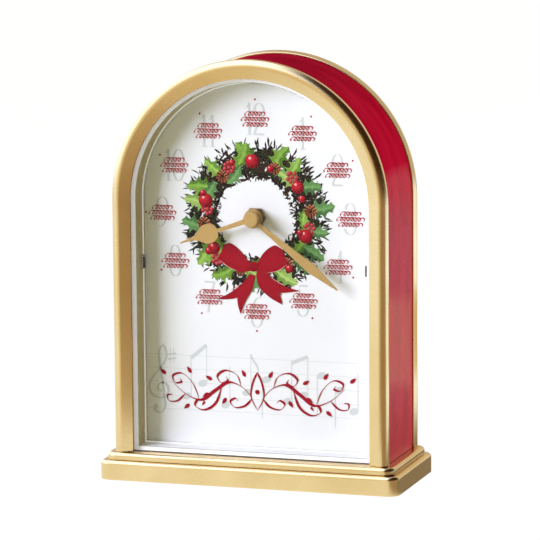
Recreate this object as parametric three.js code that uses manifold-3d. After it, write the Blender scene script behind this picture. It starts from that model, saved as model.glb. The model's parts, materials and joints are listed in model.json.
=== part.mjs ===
// Arched tabletop clock: gilt bezel, rear ring and stepped base round a red case, and a white dial with two
// hands. Behind the dial are a geared battery movement, a speaker and the back with its controls.
// Millimetres. X runs right as seen from the front, Y to the back, Z up. The origin lies under the middle.
import * as THREE from 'three';
import { mergeVertices } from 'three/addons/utils/BufferGeometryUtils.js';
import Module from 'manifold-3d';

const wasm = await Module();
wasm.setup();

// Overall sizes
const HEIGHT = 229;
const BASE_WIDTH = 168;
const BASE_DEPTH = 73;
const CASE_DEPTH = 61;
const BASE_MARGIN = 7; // side of the plinth beyond the rear ring

// Clearances
const SEAT = 0.2; // between faces that rest on each other
const FIT = 0.3; // round a piece held in a hole or a rebate
const RUN = 0.15; // round a turning or sliding piece
const OVERCUT = 1; // how far a cut runs beyond the face that it opens

// Base
const FOOT_HEIGHT = 1;
const FOOT_RADIUS = 7;
const FOOT_INSET = 16; // foot's centre in from the sides of the plinth
const PLINTH_CLEARANCE = 0.4; // rim of the plinth above the table
const PLINTH_HEIGHT = 10.4;
const PLINTH_CORNER = 5;
const PLINTH_EDGE = 1.2;
const PLINTH_WALL = 4;
const PLINTH_TOP_WALL = 3;
const PLATE_LEDGE = 2; // rim inside the plinth that the bottom plate rests on
const PLATE_THICKNESS = 1.6;
const STEP_HEIGHT = 3.8;
const STEP_INSET = 3; // step in from the plinth all round
const STEP_EDGE = 1.5;
const STEP_QUIRK = 0.7; // groove under the rounded edge

// Case
const BEZEL_SETBACK = 0.1; // bezel's outline inside the rear ring's
const BEZEL_FACE = 5.7; // flat front
const BEZEL_EDGE = 4.2; // rounded outer edge
const BEZEL_LIP = 2.8; // metal in front of the glass
const BAND_SETBACK = 1.6; // red band's outline inside the rear ring's
const BAND_WALL = 6;
const RING_DEPTH = 6;
const RING_FACE = 6.2; // rear face and rounded edge
const RING_EDGE = 3.6;
const RING_FRONT_EDGE = 0.9;
const RING_LEDGE = 6.4; // inner ledge that the back panel rests on
const GLASS_THICKNESS = 1.4;
const GLASS_LAP = 2.5; // glass hidden behind the bezel
const PANEL_THICKNESS = 2;
const PANEL_RECESS = 1.6; // back panel in from the rear face of the ring

// Dial and its surround
const FLANGE_THICKNESS = 1.6;
const FLANGE_SHOW = 2.3; // flange seen inside the window
const FLANGE_SILL = 0.5; // foot of the flange above the step
const TUNNEL_DEPTH = 10; // flange's face to the ledge in front of the dial
const TUNNEL_DRAFT = 0.6;
const TUNNEL_WALL = 1.6;
const LEDGE_SHOW = 1.5;
const LEDGE_THICKNESS = 1.2;
const DIAL_THICKNESS = 1;
const DIAL_LAP = 2.6; // dial hidden behind the ledge
const BOARD_THICKNESS = 5;
const CLIP_HEIGHT = 7;
const CLIP_STEEL = 0.6;
const CLIP_REACH = 4; // rear arm under the board

// Hands and hub
const HUB_DROP = 8.8; // hands' axis below the centre of the arch
const MINUTE_ANGLE = 127.5; // degrees clockwise from twelve
const HOUR_ANGLE = 8 * 30 + MINUTE_ANGLE / 12; // past eight o'clock
const MINUTE_TIP_GAP = 3; // tip to the side of the dial opening
const MINUTE_WAIST = 1.1;
const MINUTE_ARM = 1.5;
const MINUTE_ARM_AT = 24;
const MINUTE_BELLY = 2.85;
const MINUTE_BELLY_AT = 41;
const HOUR_LENGTH = 43.8;
const HOUR_ARM = 1.5;
const HOUR_NECK = 0.95;
const HOUR_NECK_AT = 21.4;
const HOUR_BELLY = 5.3;
const HOUR_BELLY_AT = 26.7;
const HOUR_WAIST = 0.95;
const HOUR_WAIST_AT = 36.4;
const HAND_TIP = 0.3;
const BLADE_THICKNESS = 0.7;
const HOUR_HUB_RADIUS = 5.2;
const HOUR_HUB_DEPTH = 1.3;
const MINUTE_HUB_RADIUS = 4.5;
const MINUTE_HUB_DEPTH = 0.5;
const HAND_GAP = 0.6; // air between the hub's turning pieces
const CAP_RADIUS = 4.1;
const CAP_DEPTH = 2.6;
const CAP_EDGE = 0.5;
const ARBOR_RADIUS = 1.4;
const TUBE_RADIUS = 2.6; // hour wheel's tube
const BUSH_RADIUS = 4; // threaded bush of the movement
const BUSH_SHOW = 0.5; // bush beyond its nut
const NUT_FLATS = 10.2;
const NUT_THICKNESS = 2;
const WASHER_RADIUS = 10;
const WASHER_THICKNESS = 1;

// Movement case
const MOVEMENT_WIDTH = 76;
const MOVEMENT_RISE = 26; // above the hands' axis
const MOVEMENT_DROP = 56; // below it
const MOVEMENT_CORNER = 4;
const MOVEMENT_WALL = 1.8;
const MOVEMENT_RECESS = 0.4; // movement's back in from the back panel
const BRIDGE_THICKNESS = 1.8;
const BRIDGE_HALF_WIDTH = 32;
const BRIDGE_RISE = 21;
const BRIDGE_DROP = 17;
const POST_INSET = 3;
const POST_RADIUS = 2.4;
const SPIGOT_RADIUS = 1.2;

// Gears: teeth, modules and places round the hands' axis
const GEAR_FACE = 1.6;
const LAYER_GAP = 0.5;
const PRESSURE_ANGLE = 20;
const ADDENDUM = 0.85; // times the module
const DEDENDUM = 1.25;
const BACKLASH = 0.07; // taken off each flank
const GOING_MODULE = 0.5;
const CANNON_TEETH = 12;
const INTERMEDIATE_TEETH = 36;
const INTERMEDIATE_PINION_TEETH = 10;
const HOUR_TEETH = 40;
const CENTRE_TEETH = 48;
const DRIVE_TEETH = 8;
const SET_TEETH = 24;
const INTERMEDIATE_DIRECTION = 160; // degrees, right is 0 and up is 90
const SET_DIRECTION = 215;
const DRIVE_DIRECTION = 35;
const STUD_RADIUS = 1; // stud that carries the intermediate wheel
const DRIVE_SHAFT_RADIUS = 0.8;
const STEM_RADIUS = 1.5; // stem of the setting knob
const STEM_PIVOT_RADIUS = 1;
const STEM_BOSS_RADIUS = 2.4;
const KNOB_RADIUS = 5.5;
const KNOB_DEPTH = 6.5;
const KNOB_SHOW = 1.2; // knob beyond the back of the movement
const KNOB_GRIPS = 12;
const WELL_GAP = 2.6; // finger room round the knob
const WELL_WALL = 1.4;
const WELL_FLOOR_GAP = 1.2;

// Electrics
const MOTOR_WIDTH = 27;
const MOTOR_HEIGHT = 21;
const MOTOR_SIDE = 8; // motor's left side from the drive shaft
const MOTOR_FOOT = 9; // motor's underside below the drive shaft
const MOTOR_SPACE = 4.2; // air between the motor and the circuit board
const CIRCUIT_THICKNESS = 1.6;
const CIRCUIT_HALF_WIDTH = 33.5;
const CIRCUIT_RISE = 22;
const CIRCUIT_DROP = 17;
const CONTROL_SPACE = 9.6; // circuit board to the inside of the back
const CRYSTAL_RADIUS = 1.5;
const CRYSTAL_LENGTH = 6;
const CELL_RADIUS = 7.1;
const CELL_LENGTH = 49.5;
const CELL_TIP_RADIUS = 2.7;
const CELL_TIP_LENGTH = 1;
const CELL_GAP = 0.5;
const CONTACT_THICKNESS = 0.5;
const CONTACT_REACH = 5; // plate each way from the axis of its cell
const LEAF_HEIGHT = 3; // sprung contact out from its plate
const LEAF_TIP = 1.2;
const COVER_THICKNESS = 2.2;
const COVER_LEDGE = 1.4;
const COVER_PIN_RADIUS = 0.6;
const COVER_PIN_LENGTH = 1.2;
const COVER_GRIP_WIDTH = 14;
const COVER_GRIP_RADIUS = 1.2;
const COVER_GRIP_DROP = 4;

// Controls on the back, placed from the hands' axis
const VOLUME_RADIUS = 6;
const VOLUME_WIDTH = 3;
const VOLUME_SHOW = 1.3;
const VOLUME_X = 24;
const VOLUME_Z = -5;
const VOLUME_GRIPS = 14;
const VOLUME_AXLE = 1;
const VOLUME_CHEEK = 1.4;
const SWITCH_X = 0;
const SWITCH_Z = -10;
const SWITCH_TRAVEL = 3; // each way from the middle
const SWITCH_WIDTH = 4;
const SWITCH_HEIGHT = 3;
const SWITCH_SHOW = 1.4;
const SWITCH_FLANGE = 1.2;
const BUTTON_X = 0;
const BUTTON_Z = 10;
const BUTTON_RADIUS = 3.4;
const BUTTON_SHOW = 1.4;
const BUTTON_TRAVEL = 1.2;
const BUTTON_FLANGE = 1;
const BUTTON_STEM_RADIUS = 1.3;

// Speaker
const SPEAKER_RADIUS = 22.5;
const SPEAKER_RIM = 5;
const SPEAKER_RIM_THICKNESS = 1.2;
const SPEAKER_DEPTH = 13;
const SPEAKER_COLLAR = 3; // straight part of the frame behind the rim
const SPEAKER_STEEL = 0.9;
const MAGNET_RADIUS = 13;
const MAGNET_THICKNESS = 7;
const COIL_RADIUS = 7;
const CONE_THICKNESS = 0.6;
const CONE_TRAVEL = 0.4; // each way
const CONE_SINK = 1.5; // cone's edge in from the rim
const DOME_HEIGHT = 1.6;
const GRILLE_SLOT = 2.4;
const GRILLE_PITCH = 5.6;
const GRILLE_BORDER = 3;
const LEAD_RADIUS = 1;
const LEAD_X = 12;
const LEAD_Y = 4; // behind the inside of the movement's front wall

// Screws
const SCREW_RADIUS = 1.5;
const SCREW_HEAD_RADIUS = 2.9;
const SCREW_HEAD_HEIGHT = 1.3;
const SCREW_SLOT = 0.7;
const SCREW_SLOT_DEPTH = 0.5;
const BASE_SCREW_GRIP = 10; // thread in the red band
const BASE_SCREW_INSET = 11; // in from the ends of the red band
const PANEL_SCREW_LOW = 14; // lower pair above the floor of the case
const PANEL_SCREW_ARCH = 50; // upper pair, degrees up the arch

// Smoothness
const ARCH_STEPS = 28;
const CORNER_STEPS = 4;
const EDGE_STEPS = 4;
const ROUND_STEPS = 20;
const SMALL_ROUND_STEPS = 8;
const CURVE_STEPS = 6;
const LEAD_STEPS = 20;
const LEAD_SIDES = 6;

// Finishes: colour, roughness, metalness
const GILT = [0xe3cb8c, 0.3, 1];
const LACQUER = [0x8c0a24, 0.25, 0];
const IVORY = [0xf4f4f2, 0.5, 0];
const BRASS = [0xc9a560, 0.35, 1];
const STEEL = [0x8f9094, 0.4, 1];
const DARK = [0x1c1c1e, 0.6, 0];
const NYLON = [0xe8e4d8, 0.6, 0];
const FIBRE = [0x8a6a48, 0.85, 0];
const GREEN = [0x1f5a35, 0.5, 0];
const FELT = [0x24351f, 0.95, 0];
const CLEAR = [0xdfe9ea, 0.05, 0];
const CELL_WRAP = [0x3a4a66, 0.4, 0.2];
const PAPER = [0x2c2a28, 0.9, 0];

// Heights
const ringHalf = BASE_WIDTH / 2 - BASE_MARGIN;
const springZ = HEIGHT - ringHalf;
const hubZ = springZ - HUB_DROP;
const plinthTop = PLINTH_CLEARANCE + PLINTH_HEIGHT;
const plinthCeiling = plinthTop - PLINTH_TOP_WALL;
const stepBottom = plinthTop + SEAT;
const stepTop = stepBottom + STEP_HEIGHT;
const floorZ = stepTop + SEAT;
const movementTop = hubZ + MOVEMENT_RISE;
const movementBottom = hubZ - MOVEMENT_DROP;

// Half widths of the arched pieces
const bezelHalf = ringHalf - BEZEL_SETBACK;
const windowHalf = bezelHalf - BEZEL_EDGE - BEZEL_FACE;
const glassHalf = windowHalf + GLASS_LAP;
const bandHalf = ringHalf - BAND_SETBACK;
const boreHalf = bandHalf - BAND_WALL;
const flangeHalf = boreHalf - FIT;
const mouthHalf = windowHalf - FLANGE_SHOW;
const throatHalf = mouthHalf - TUNNEL_DRAFT;
const openingHalf = throatHalf - LEDGE_SHOW;
const dialHalf = openingHalf + DIAL_LAP;
const panelBayHalf = ringHalf - RING_FACE;
const panelHalf = panelBayHalf - FIT;
const ringBoreHalf = panelBayHalf - RING_LEDGE;

// Lower edges of the frames round the dial
const sillZ = floorZ + FLANGE_SILL;
const mouthZ = sillZ + FLANGE_SHOW;
const throatZ = mouthZ + TUNNEL_DRAFT;
const openingZ = throatZ + LEDGE_SHOW;
const dialZ = openingZ - DIAL_LAP + FIT;

// Front to back
const frontY = -CASE_DEPTH / 2;
const rearY = CASE_DEPTH / 2;
const glassFront = frontY + BEZEL_LIP + SEAT;
const glassBack = glassFront + GLASS_THICKNESS;
const bezelBack = glassBack + SEAT;
const bandFront = bezelBack + SEAT;
const ringFront = rearY - RING_DEPTH;
const bandRear = ringFront - SEAT;
const flangeBack = bezelBack + FLANGE_THICKNESS;
const ledgeFront = bezelBack + TUNNEL_DEPTH;
const ledgeBack = ledgeFront + LEDGE_THICKNESS;
const dialFront = ledgeBack + SEAT;
const dialBack = dialFront + DIAL_THICKNESS;
const boardFront = dialBack + SEAT;
const boardBack = boardFront + BOARD_THICKNESS;
const washerFront = boardBack + SEAT;
const washerBack = washerFront + WASHER_THICKNESS;
const movementFront = washerBack + SEAT;
const panelRear = rearY - PANEL_RECESS;
const panelFront = panelRear - PANEL_THICKNESS;
const movementRear = panelRear - MOVEMENT_RECESS;
const movementPart = (movementFront + movementRear) / 2;
const backInside = movementRear - MOVEMENT_WALL;

// Hub, from the dial towards the glass
const nutBack = dialFront - SEAT;
const nutFront = nutBack - NUT_THICKNESS;
const bushFront = nutFront - BUSH_SHOW;
const hourHubBack = bushFront - HAND_GAP;
const hourBladeBack = hourHubBack - HOUR_HUB_DEPTH;
const hourBladeFront = hourBladeBack - BLADE_THICKNESS;
const tubeFront = hourBladeFront - SEAT;
const minuteHubBack = tubeFront - HAND_GAP;
const minuteBladeBack = minuteHubBack - MINUTE_HUB_DEPTH;
const minuteBladeFront = minuteBladeBack - BLADE_THICKNESS;
const capBack = minuteBladeFront - SEAT;
const capFront = capBack - CAP_DEPTH;
const arborFront = capBack - CAP_DEPTH / 2;
const minuteLength = openingHalf - MINUTE_TIP_GAP;

// Gear layers, from the inside of the movement's front wall
const gearLayer = (n) => movementFront + MOVEMENT_WALL + LAYER_GAP + n * (GEAR_FACE + LAYER_GAP);
const bridgeFront = gearLayer(3);
const bridgeBack = bridgeFront + BRIDGE_THICKNESS;
const studRear = gearLayer(2) - SEAT;

// Solid helpers
function manifoldOf(geometry) {
  const bare = geometry.clone();
  bare.deleteAttribute('normal');
  bare.deleteAttribute('uv');
  const merged = mergeVertices(bare, 1e-4);
  const corners = merged.index.array;
  const triangles = [];
  for (let i = 0; i < corners.length; i += 3) {
    const [a, b, c] = [corners[i], corners[i + 1], corners[i + 2]];
    if (a !== b && b !== c && c !== a) triangles.push(a, b, c);
  }
  return new wasm.Manifold(new wasm.Mesh({
    numProp: 3,
    vertProperties: Float32Array.from(merged.attributes.position.array),
    triVerts: Uint32Array.from(triangles),
  }));
}

function geometryOf(manifold) {
  const mesh = manifold.getMesh();
  const geometry = new THREE.BufferGeometry();
  const points = Float32Array.from(mesh.vertProperties);
  geometry.setAttribute('position', new THREE.BufferAttribute(points, 3));
  geometry.setIndex(new THREE.BufferAttribute(Uint32Array.from(mesh.triVerts), 1));
  return geometry;
}

function join(first, ...others) {
  let solid = manifoldOf(first);
  for (const other of others) solid = solid.add(manifoldOf(other));
  return geometryOf(solid);
}

function cut(body, ...tools) {
  let solid = manifoldOf(body);
  for (const tool of tools) solid = solid.subtract(manifoldOf(tool));
  return geometryOf(solid);
}

const radians = (degrees) => THREE.MathUtils.degToRad(degrees);

// A point at a distance and direction from another, both as { x, z } on the dial's plane
function along(from, distance, degrees) {
  const angle = radians(degrees);
  return { x: from.x + distance * Math.cos(angle), z: from.z + distance * Math.sin(angle) };
}

// Skin over rings of equal point counts, with flat convex ends
function loft(rings) {
  const count = rings[0].length;
  const last = (rings.length - 1) * count;
  const index = [];
  for (let k = 1; k < count - 1; k += 1) {
    index.push(0, k, k + OVERCUT);
    index.push(last, last + k + OVERCUT, last + k);
  }
  for (let start = 0; start < last; start += count) {
    for (let k = 0; k < count; k += 1) {
      const a = start + k;
      const b = start + ((k + OVERCUT) % count);
      index.push(a, a + count, b + count, a, b + count, b);
    }
  }
  const geometry = new THREE.BufferGeometry().setFromPoints(rings.flat());
  geometry.setIndex(index);
  return geometry;
}

// Arched outline: two straight legs under a half circle
function archRing(half, bottom, y) {
  const points = [new THREE.Vector3(half, y, bottom)];
  for (let i = 0; i <= ARCH_STEPS; i += 1) {
    const angle = (Math.PI * i) / ARCH_STEPS;
    points.push(new THREE.Vector3(half * Math.cos(angle), y, springZ + half * Math.sin(angle)));
  }
  points.push(new THREE.Vector3(-half, y, bottom));
  return points;
}

function archPlate(half, bottom, front, back) {
  return loft([archRing(half, bottom, front), archRing(half, bottom, back)]);
}

// Rounded rectangle lying flat
function blockRing(halfX, halfY, radius, z) {
  const points = [];
  const corners = [[1, 1, 90], [1, -1, 0], [-1, -1, -90], [-1, 1, 180]];
  for (const [signX, signY, startAngle] of corners) {
    for (let i = 0; i <= CORNER_STEPS; i += 1) {
      const angle = radians(startAngle - (90 * i) / CORNER_STEPS);
      const x = signX * (halfX - radius) + radius * Math.cos(angle);
      const y = signY * (halfY - radius) + radius * Math.sin(angle);
      points.push(new THREE.Vector3(x, y, z));
    }
  }
  return points;
}

// Steps of a quarter round: how far in from the side and how far along from the face at each
function quarterRound(radius) {
  const steps = [];
  for (let i = 0; i <= EDGE_STEPS; i += 1) {
    const angle = (Math.PI / 2) * (i / EDGE_STEPS);
    steps.push({ inset: radius * (1 - Math.sin(angle)), run: radius * (1 - Math.cos(angle)) });
  }
  return steps;
}

// A flat outline drawn on X and Z, given thickness along Y
function prism(shape, front, back) {
  const options = { depth: back - front, bevelEnabled: false, curveSegments: CURVE_STEPS };
  return new THREE.ExtrudeGeometry(shape, options).rotateX(Math.PI / 2).translate(0, back, 0);
}

function rectangle(x0, x1, z0, z1, radius = 0) {
  const shape = new THREE.Shape();
  if (radius === 0) {
    shape.moveTo(x0, z0).lineTo(x1, z0).lineTo(x1, z1).lineTo(x0, z1);
    return shape;
  }
  shape.absarc(x1 - radius, z0 + radius, radius, -Math.PI / 2, 0);
  shape.absarc(x1 - radius, z1 - radius, radius, 0, Math.PI / 2);
  shape.absarc(x0 + radius, z1 - radius, radius, Math.PI / 2, Math.PI);
  shape.absarc(x0 + radius, z0 + radius, radius, Math.PI, 1.5 * Math.PI);
  return shape;
}

// Two values with the smaller one first
const ordered = (a, b) => [Math.min(a, b), Math.max(a, b)];

function box(x0, x1, y0, y1, z0, z1) {
  const geometry = new THREE.BoxGeometry(x1 - x0, y1 - y0, z1 - z0);
  return geometry.translate((x0 + x1) / 2, (y0 + y1) / 2, (z0 + z1) / 2);
}

// Round bars with their axis along Y, Z or X
function rod(radius, front, back, at, steps = ROUND_STEPS) {
  const geometry = new THREE.CylinderGeometry(radius, radius, back - front, steps);
  return geometry.translate(at.x, (front + back) / 2, at.z);
}

function uprightRod(radius, bottom, top, x, y, steps = SMALL_ROUND_STEPS) {
  const geometry = new THREE.CylinderGeometry(radius, radius, top - bottom, steps).rotateX(Math.PI / 2);
  return geometry.translate(x, y, (bottom + top) / 2);
}

function crossRod(radius, left, right, y, z, steps = SMALL_ROUND_STEPS) {
  const geometry = new THREE.CylinderGeometry(radius, radius, right - left, steps).rotateZ(Math.PI / 2);
  return geometry.translate((left + right) / 2, y, z);
}

// Outline of [radius, y] points turned about an axis along Y; it runs round against the clock
function turned(profile, at, steps = ROUND_STEPS) {
  const points = profile.map(([radius, y]) => new THREE.Vector2(radius, y));
  if (points[0].x > 0) points.push(points[0].clone());
  return new THREE.LatheGeometry(points, steps).translate(at.x, 0, at.z);
}

// Gear outline: straight flanks from the root to the tip of an involute tooth; phase is one tooth's direction
function gearShape(teeth, module, phase) {
  const pitchRadius = (teeth * module) / 2;
  const tipRadius = pitchRadius + ADDENDUM * module;
  const rootRadius = pitchRadius - DEDENDUM * module;
  const baseRadius = pitchRadius * Math.cos(radians(PRESSURE_ANGLE));
  const involute = (angle) => Math.tan(angle) - angle;
  const atPitch = Math.PI / (2 * teeth) - BACKLASH / pitchRadius;
  const halfTooth = (radius) => {
    const slope = Math.acos(Math.min(1, baseRadius / radius));
    return atPitch + involute(radians(PRESSURE_ANGLE)) - involute(slope);
  };
  const flank = [rootRadius, tipRadius];
  const points = [];
  for (let tooth = 0; tooth < teeth; tooth += 1) {
    const middle = phase + (2 * Math.PI * tooth) / teeth;
    const rising = flank.map((radius) => [radius, middle - halfTooth(radius)]);
    const falling = flank.map((radius) => [radius, middle + halfTooth(radius)]).reverse();
    for (const [radius, angle] of [...rising, ...falling]) {
      points.push(new THREE.Vector2(radius * Math.cos(angle), radius * Math.sin(angle)));
    }
  }
  return new THREE.Shape(points);
}

function gear(teeth, module, phase, layer, at) {
  const front = gearLayer(layer);
  return prism(gearShape(teeth, module, phase), front, front + GEAR_FACE).translate(at.x, 0, at.z);
}

// Phase that puts a gap of the second gear on a tooth of the first
function meshedPhase(firstTeeth, firstPhase, secondTeeth, direction) {
  const towards = radians(direction);
  return towards + Math.PI + Math.PI / secondTeeth - ((firstPhase - towards) * firstTeeth) / secondTeeth;
}

// Parts list
const group = new THREE.Group();
group.name = 'tabletop_clock';

function piece(name, geometry, [color, roughness, metalness]) {
  const material = new THREE.MeshStandardMaterial({ color, roughness, metalness });
  const mesh = new THREE.Mesh(geometryOf(manifoldOf(geometry)), material);
  mesh.name = name;
  group.add(mesh);
}

// Slotted screw along +Y, with the underside of its head at the origin
function screw(length) {
  const body = turned([
    [0, -SCREW_HEAD_HEIGHT],
    [SCREW_HEAD_RADIUS - SCREW_HEAD_HEIGHT / 2, -SCREW_HEAD_HEIGHT],
    [SCREW_HEAD_RADIUS, -SCREW_HEAD_HEIGHT / 2],
    [SCREW_HEAD_RADIUS, 0],
    [SCREW_RADIUS, 0],
    [SCREW_RADIUS, length],
    [0, length],
  ], { x: 0, z: 0 }, SMALL_ROUND_STEPS);
  const slotFloor = SCREW_SLOT_DEPTH - SCREW_HEAD_HEIGHT;
  const slotHalf = SCREW_SLOT / 2;
  const reach = SCREW_HEAD_RADIUS + FIT;
  return cut(body, box(-reach, reach, -SCREW_HEAD_HEIGHT - FIT, slotFloor, -slotHalf, slotHalf));
}

// Base: plinth, step, bottom plate, feet and the screws up into the red band
const plinthHalfX = BASE_WIDTH / 2;
const plinthHalfY = BASE_DEPTH / 2;
const plateTop = FOOT_HEIGHT + PLATE_THICKNESS;
const bandMiddle = bandHalf - BAND_WALL / 2;
const baseScrewSeat = plinthCeiling - SEAT;
const baseScrewTop = floorZ + BASE_SCREW_GRIP;
const baseScrewRows = [bandFront + BASE_SCREW_INSET, bandRear - BASE_SCREW_INSET];
const baseScrews = baseScrewRows.flatMap((y) => [{ x: -bandMiddle, y }, { x: bandMiddle, y }]);

function baseScrewHoles(bottom, top) {
  return baseScrews.map(({ x, y }) => uprightRod(SCREW_RADIUS + FIT, bottom, top, x, y));
}

function plinthBlock(inset, bottom, top) {
  const corner = Math.max(PLINTH_CORNER - inset, FIT);
  return loft([bottom, top].map((z) => blockRing(plinthHalfX - inset, plinthHalfY - inset, corner, z)));
}

// Block whose sides follow the rings given and end in a rounded top edge
function mouldedBlock(halfX, halfY, sides, top, edge) {
  const rounding = quarterRound(edge).reverse().map(({ inset, run }) => ({ inset, z: top - run }));
  const ring = ({ inset, z }) => blockRing(halfX - inset, halfY - inset, PLINTH_CORNER - inset, z);
  return loft([...sides, ...rounding].map(ring));
}

function basePlinth() {
  const sides = [{ inset: 0, z: PLINTH_CLEARANCE }];
  return cut(
    mouldedBlock(plinthHalfX, plinthHalfY, sides, plinthTop, PLINTH_EDGE),
    plinthBlock(PLINTH_WALL, PLINTH_CLEARANCE - OVERCUT, plateTop + SEAT),
    plinthBlock(PLINTH_WALL + PLATE_LEDGE, FOOT_HEIGHT, plinthCeiling),
    ...baseScrewHoles(plinthCeiling - OVERCUT, plinthTop + OVERCUT),
  );
}

function baseStep() {
  const sides = [
    { inset: STEP_QUIRK, z: stepBottom },
    { inset: STEP_QUIRK, z: stepBottom + STEP_QUIRK },
    { inset: 0, z: stepBottom + 1.5 * STEP_QUIRK },
  ];
  return cut(
    mouldedBlock(plinthHalfX - STEP_INSET, plinthHalfY - STEP_INSET, sides, stepTop, STEP_EDGE),
    ...baseScrewHoles(stepBottom - OVERCUT, stepTop + OVERCUT),
  );
}

piece('base_plinth', basePlinth(), GILT);
piece('base_step', baseStep(), GILT);
piece('base_plate', plinthBlock(PLINTH_WALL + FIT, FOOT_HEIGHT, plateTop), FIBRE);
baseScrews.forEach(({ x, y }, i) => {
  const upright = screw(baseScrewTop - baseScrewSeat).rotateX(Math.PI / 2);
  piece(`base_screw_${i + 1}`, upright.translate(x, y, baseScrewSeat), STEEL);
});

const feet = { front_left: [-1, -1], front_right: [1, -1], rear_left: [-1, 1], rear_right: [1, 1] };
for (const [place, [signX, signY]] of Object.entries(feet)) {
  const x = signX * (plinthHalfX - FOOT_INSET);
  const y = signY * (plinthHalfY - FOOT_INSET);
  piece(`foot_${place}`, uprightRod(FOOT_RADIUS, 0, FOOT_HEIGHT - SEAT, x, y, ROUND_STEPS), FELT);
}

// Case: bezel, glass, red band and rear ring, standing on the step as arches with open feet
function frontBezel() {
  const edge = quarterRound(BEZEL_EDGE).map(({ inset, run }) =>
    archRing(bezelHalf - inset, floorZ, frontY + run));
  return cut(
    loft([...edge, archRing(bezelHalf, floorZ, bezelBack)]),
    archPlate(windowHalf, floorZ - OVERCUT, frontY - OVERCUT, bezelBack),
    archPlate(glassHalf + FIT, floorZ - OVERCUT, frontY + BEZEL_LIP, bezelBack + OVERCUT),
  );
}

function sideBand() {
  return cut(
    archPlate(bandHalf, floorZ, bandFront, bandRear),
    archPlate(boreHalf, floorZ - OVERCUT, bandFront - OVERCUT, bandRear + OVERCUT),
    ...baseScrewHoles(floorZ - OVERCUT, baseScrewTop + FIT),
  );
}

const ledgeMiddle = panelBayHalf - RING_LEDGE / 2;
const archScrew = radians(PANEL_SCREW_ARCH);
const panelScrews = [-1, 1].flatMap((side) => [
  { x: side * ledgeMiddle, z: floorZ + PANEL_SCREW_LOW },
  { x: side * ledgeMiddle * Math.cos(archScrew), z: springZ + ledgeMiddle * Math.sin(archScrew) },
]);

function panelScrewHoles(front, back) {
  return panelScrews.map((at) => rod(SCREW_RADIUS + FIT, front, back, at, SMALL_ROUND_STEPS));
}

function rearRing() {
  const front = quarterRound(RING_FRONT_EDGE).map(({ inset, run }) =>
    archRing(ringHalf - inset, floorZ, ringFront + run));
  const rear = quarterRound(RING_EDGE).reverse().map(({ inset, run }) =>
    archRing(ringHalf - inset, floorZ, rearY - run));
  return cut(
    loft([...front, ...rear]),
    archPlate(ringBoreHalf, floorZ - OVERCUT, ringFront - OVERCUT, rearY),
    archPlate(panelBayHalf, floorZ - OVERCUT, panelFront - SEAT, rearY + OVERCUT),
    ...panelScrewHoles(ringFront - OVERCUT, rearY),
  );
}

piece('front_bezel', frontBezel(), GILT);
piece('glass', archPlate(glassHalf, floorZ, glassFront, glassBack), CLEAR);
piece('side_band', sideBand(), LACQUER);
piece('rear_ring', rearRing(), GILT);

// Dial: white surround with its flange, tunnel and ledge, the dial, its board and two spring clips
const hub = { x: 0, z: hubZ };
const clipZ = (openingZ + springZ + openingHalf) / 2;
const clipTabFront = dialFront - SEAT - CLIP_STEEL;
const clipSpine = dialHalf + FIT;
const clipArmFront = boardBack + SEAT;

function clipSlot(side) {
  const edges = ordered(side * (openingHalf - OVERCUT), side * (throatHalf + TUNNEL_WALL + OVERCUT));
  const halfHeight = CLIP_HEIGHT / 2 + FIT;
  return box(...edges, ledgeFront - FIT, ledgeBack + OVERCUT, clipZ - halfHeight, clipZ + halfHeight);
}

function dialSurround() {
  const flange = archPlate(flangeHalf, sillZ, bezelBack, flangeBack);
  const tunnel = loft([
    archRing(mouthHalf + TUNNEL_WALL, mouthZ - TUNNEL_WALL, bezelBack),
    archRing(throatHalf + TUNNEL_WALL, throatZ - TUNNEL_WALL, ledgeBack),
  ]);
  const hollow = loft([
    archRing(mouthHalf, mouthZ, bezelBack - OVERCUT),
    archRing(mouthHalf, mouthZ, bezelBack),
    archRing(throatHalf, throatZ, ledgeFront),
  ]);
  const opening = archPlate(openingHalf, openingZ, ledgeFront - OVERCUT, ledgeBack + OVERCUT);
  return cut(join(flange, tunnel), hollow, opening, clipSlot(-1), clipSlot(1));
}

// Arched plate with the hole for the movement's bush
function dialPlate(front, back) {
  const hubHole = rod(BUSH_RADIUS + FIT, front - OVERCUT, back + OVERCUT, hub);
  return cut(archPlate(dialHalf, dialZ, front, back), hubHole);
}

// Bent steel strip: tab over the dial's edge, spine outside it, arm under the board
function dialClip(side) {
  const tabEnd = openingHalf + SEAT;
  const outside = clipSpine + CLIP_STEEL;
  const armEnd = dialHalf - CLIP_REACH;
  const outline = [
    [tabEnd, clipTabFront],
    [outside, clipTabFront],
    [outside, clipArmFront + CLIP_STEEL],
    [armEnd, clipArmFront + CLIP_STEEL],
    [armEnd, clipArmFront],
    [clipSpine, clipArmFront],
    [clipSpine, clipTabFront + CLIP_STEEL],
    [tabEnd, clipTabFront + CLIP_STEEL],
  ];
  const shape = new THREE.Shape(outline.map(([x, y]) => new THREE.Vector2(side * x, y)));
  const strip = new THREE.ExtrudeGeometry(shape, { depth: CLIP_HEIGHT, bevelEnabled: false });
  return strip.translate(0, 0, clipZ - CLIP_HEIGHT / 2);
}

piece('dial_surround', dialSurround(), IVORY);
piece('dial', dialPlate(dialFront, dialBack), IVORY);
piece('dial_board', dialPlate(boardFront, boardBack), FIBRE);
piece('dial_clip_left', dialClip(-1), STEEL);
piece('dial_clip_right', dialClip(1), STEEL);

// Hands: drawn pointing up from the hub, then turned to the time
function hand(outline, hubRadius, bladeFront, bladeBack, hubBack, boreRadius, clockwise) {
  const blade = prism(outline, bladeFront, bladeBack);
  const origin = { x: 0, z: 0 };
  const boss = rod(hubRadius, bladeFront, hubBack, origin);
  const solid = cut(join(blade, boss), rod(boreRadius, bladeFront - OVERCUT, hubBack + OVERCUT, origin));
  return solid.rotateY(radians(clockwise)).translate(hub.x, 0, hub.z);
}

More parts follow.
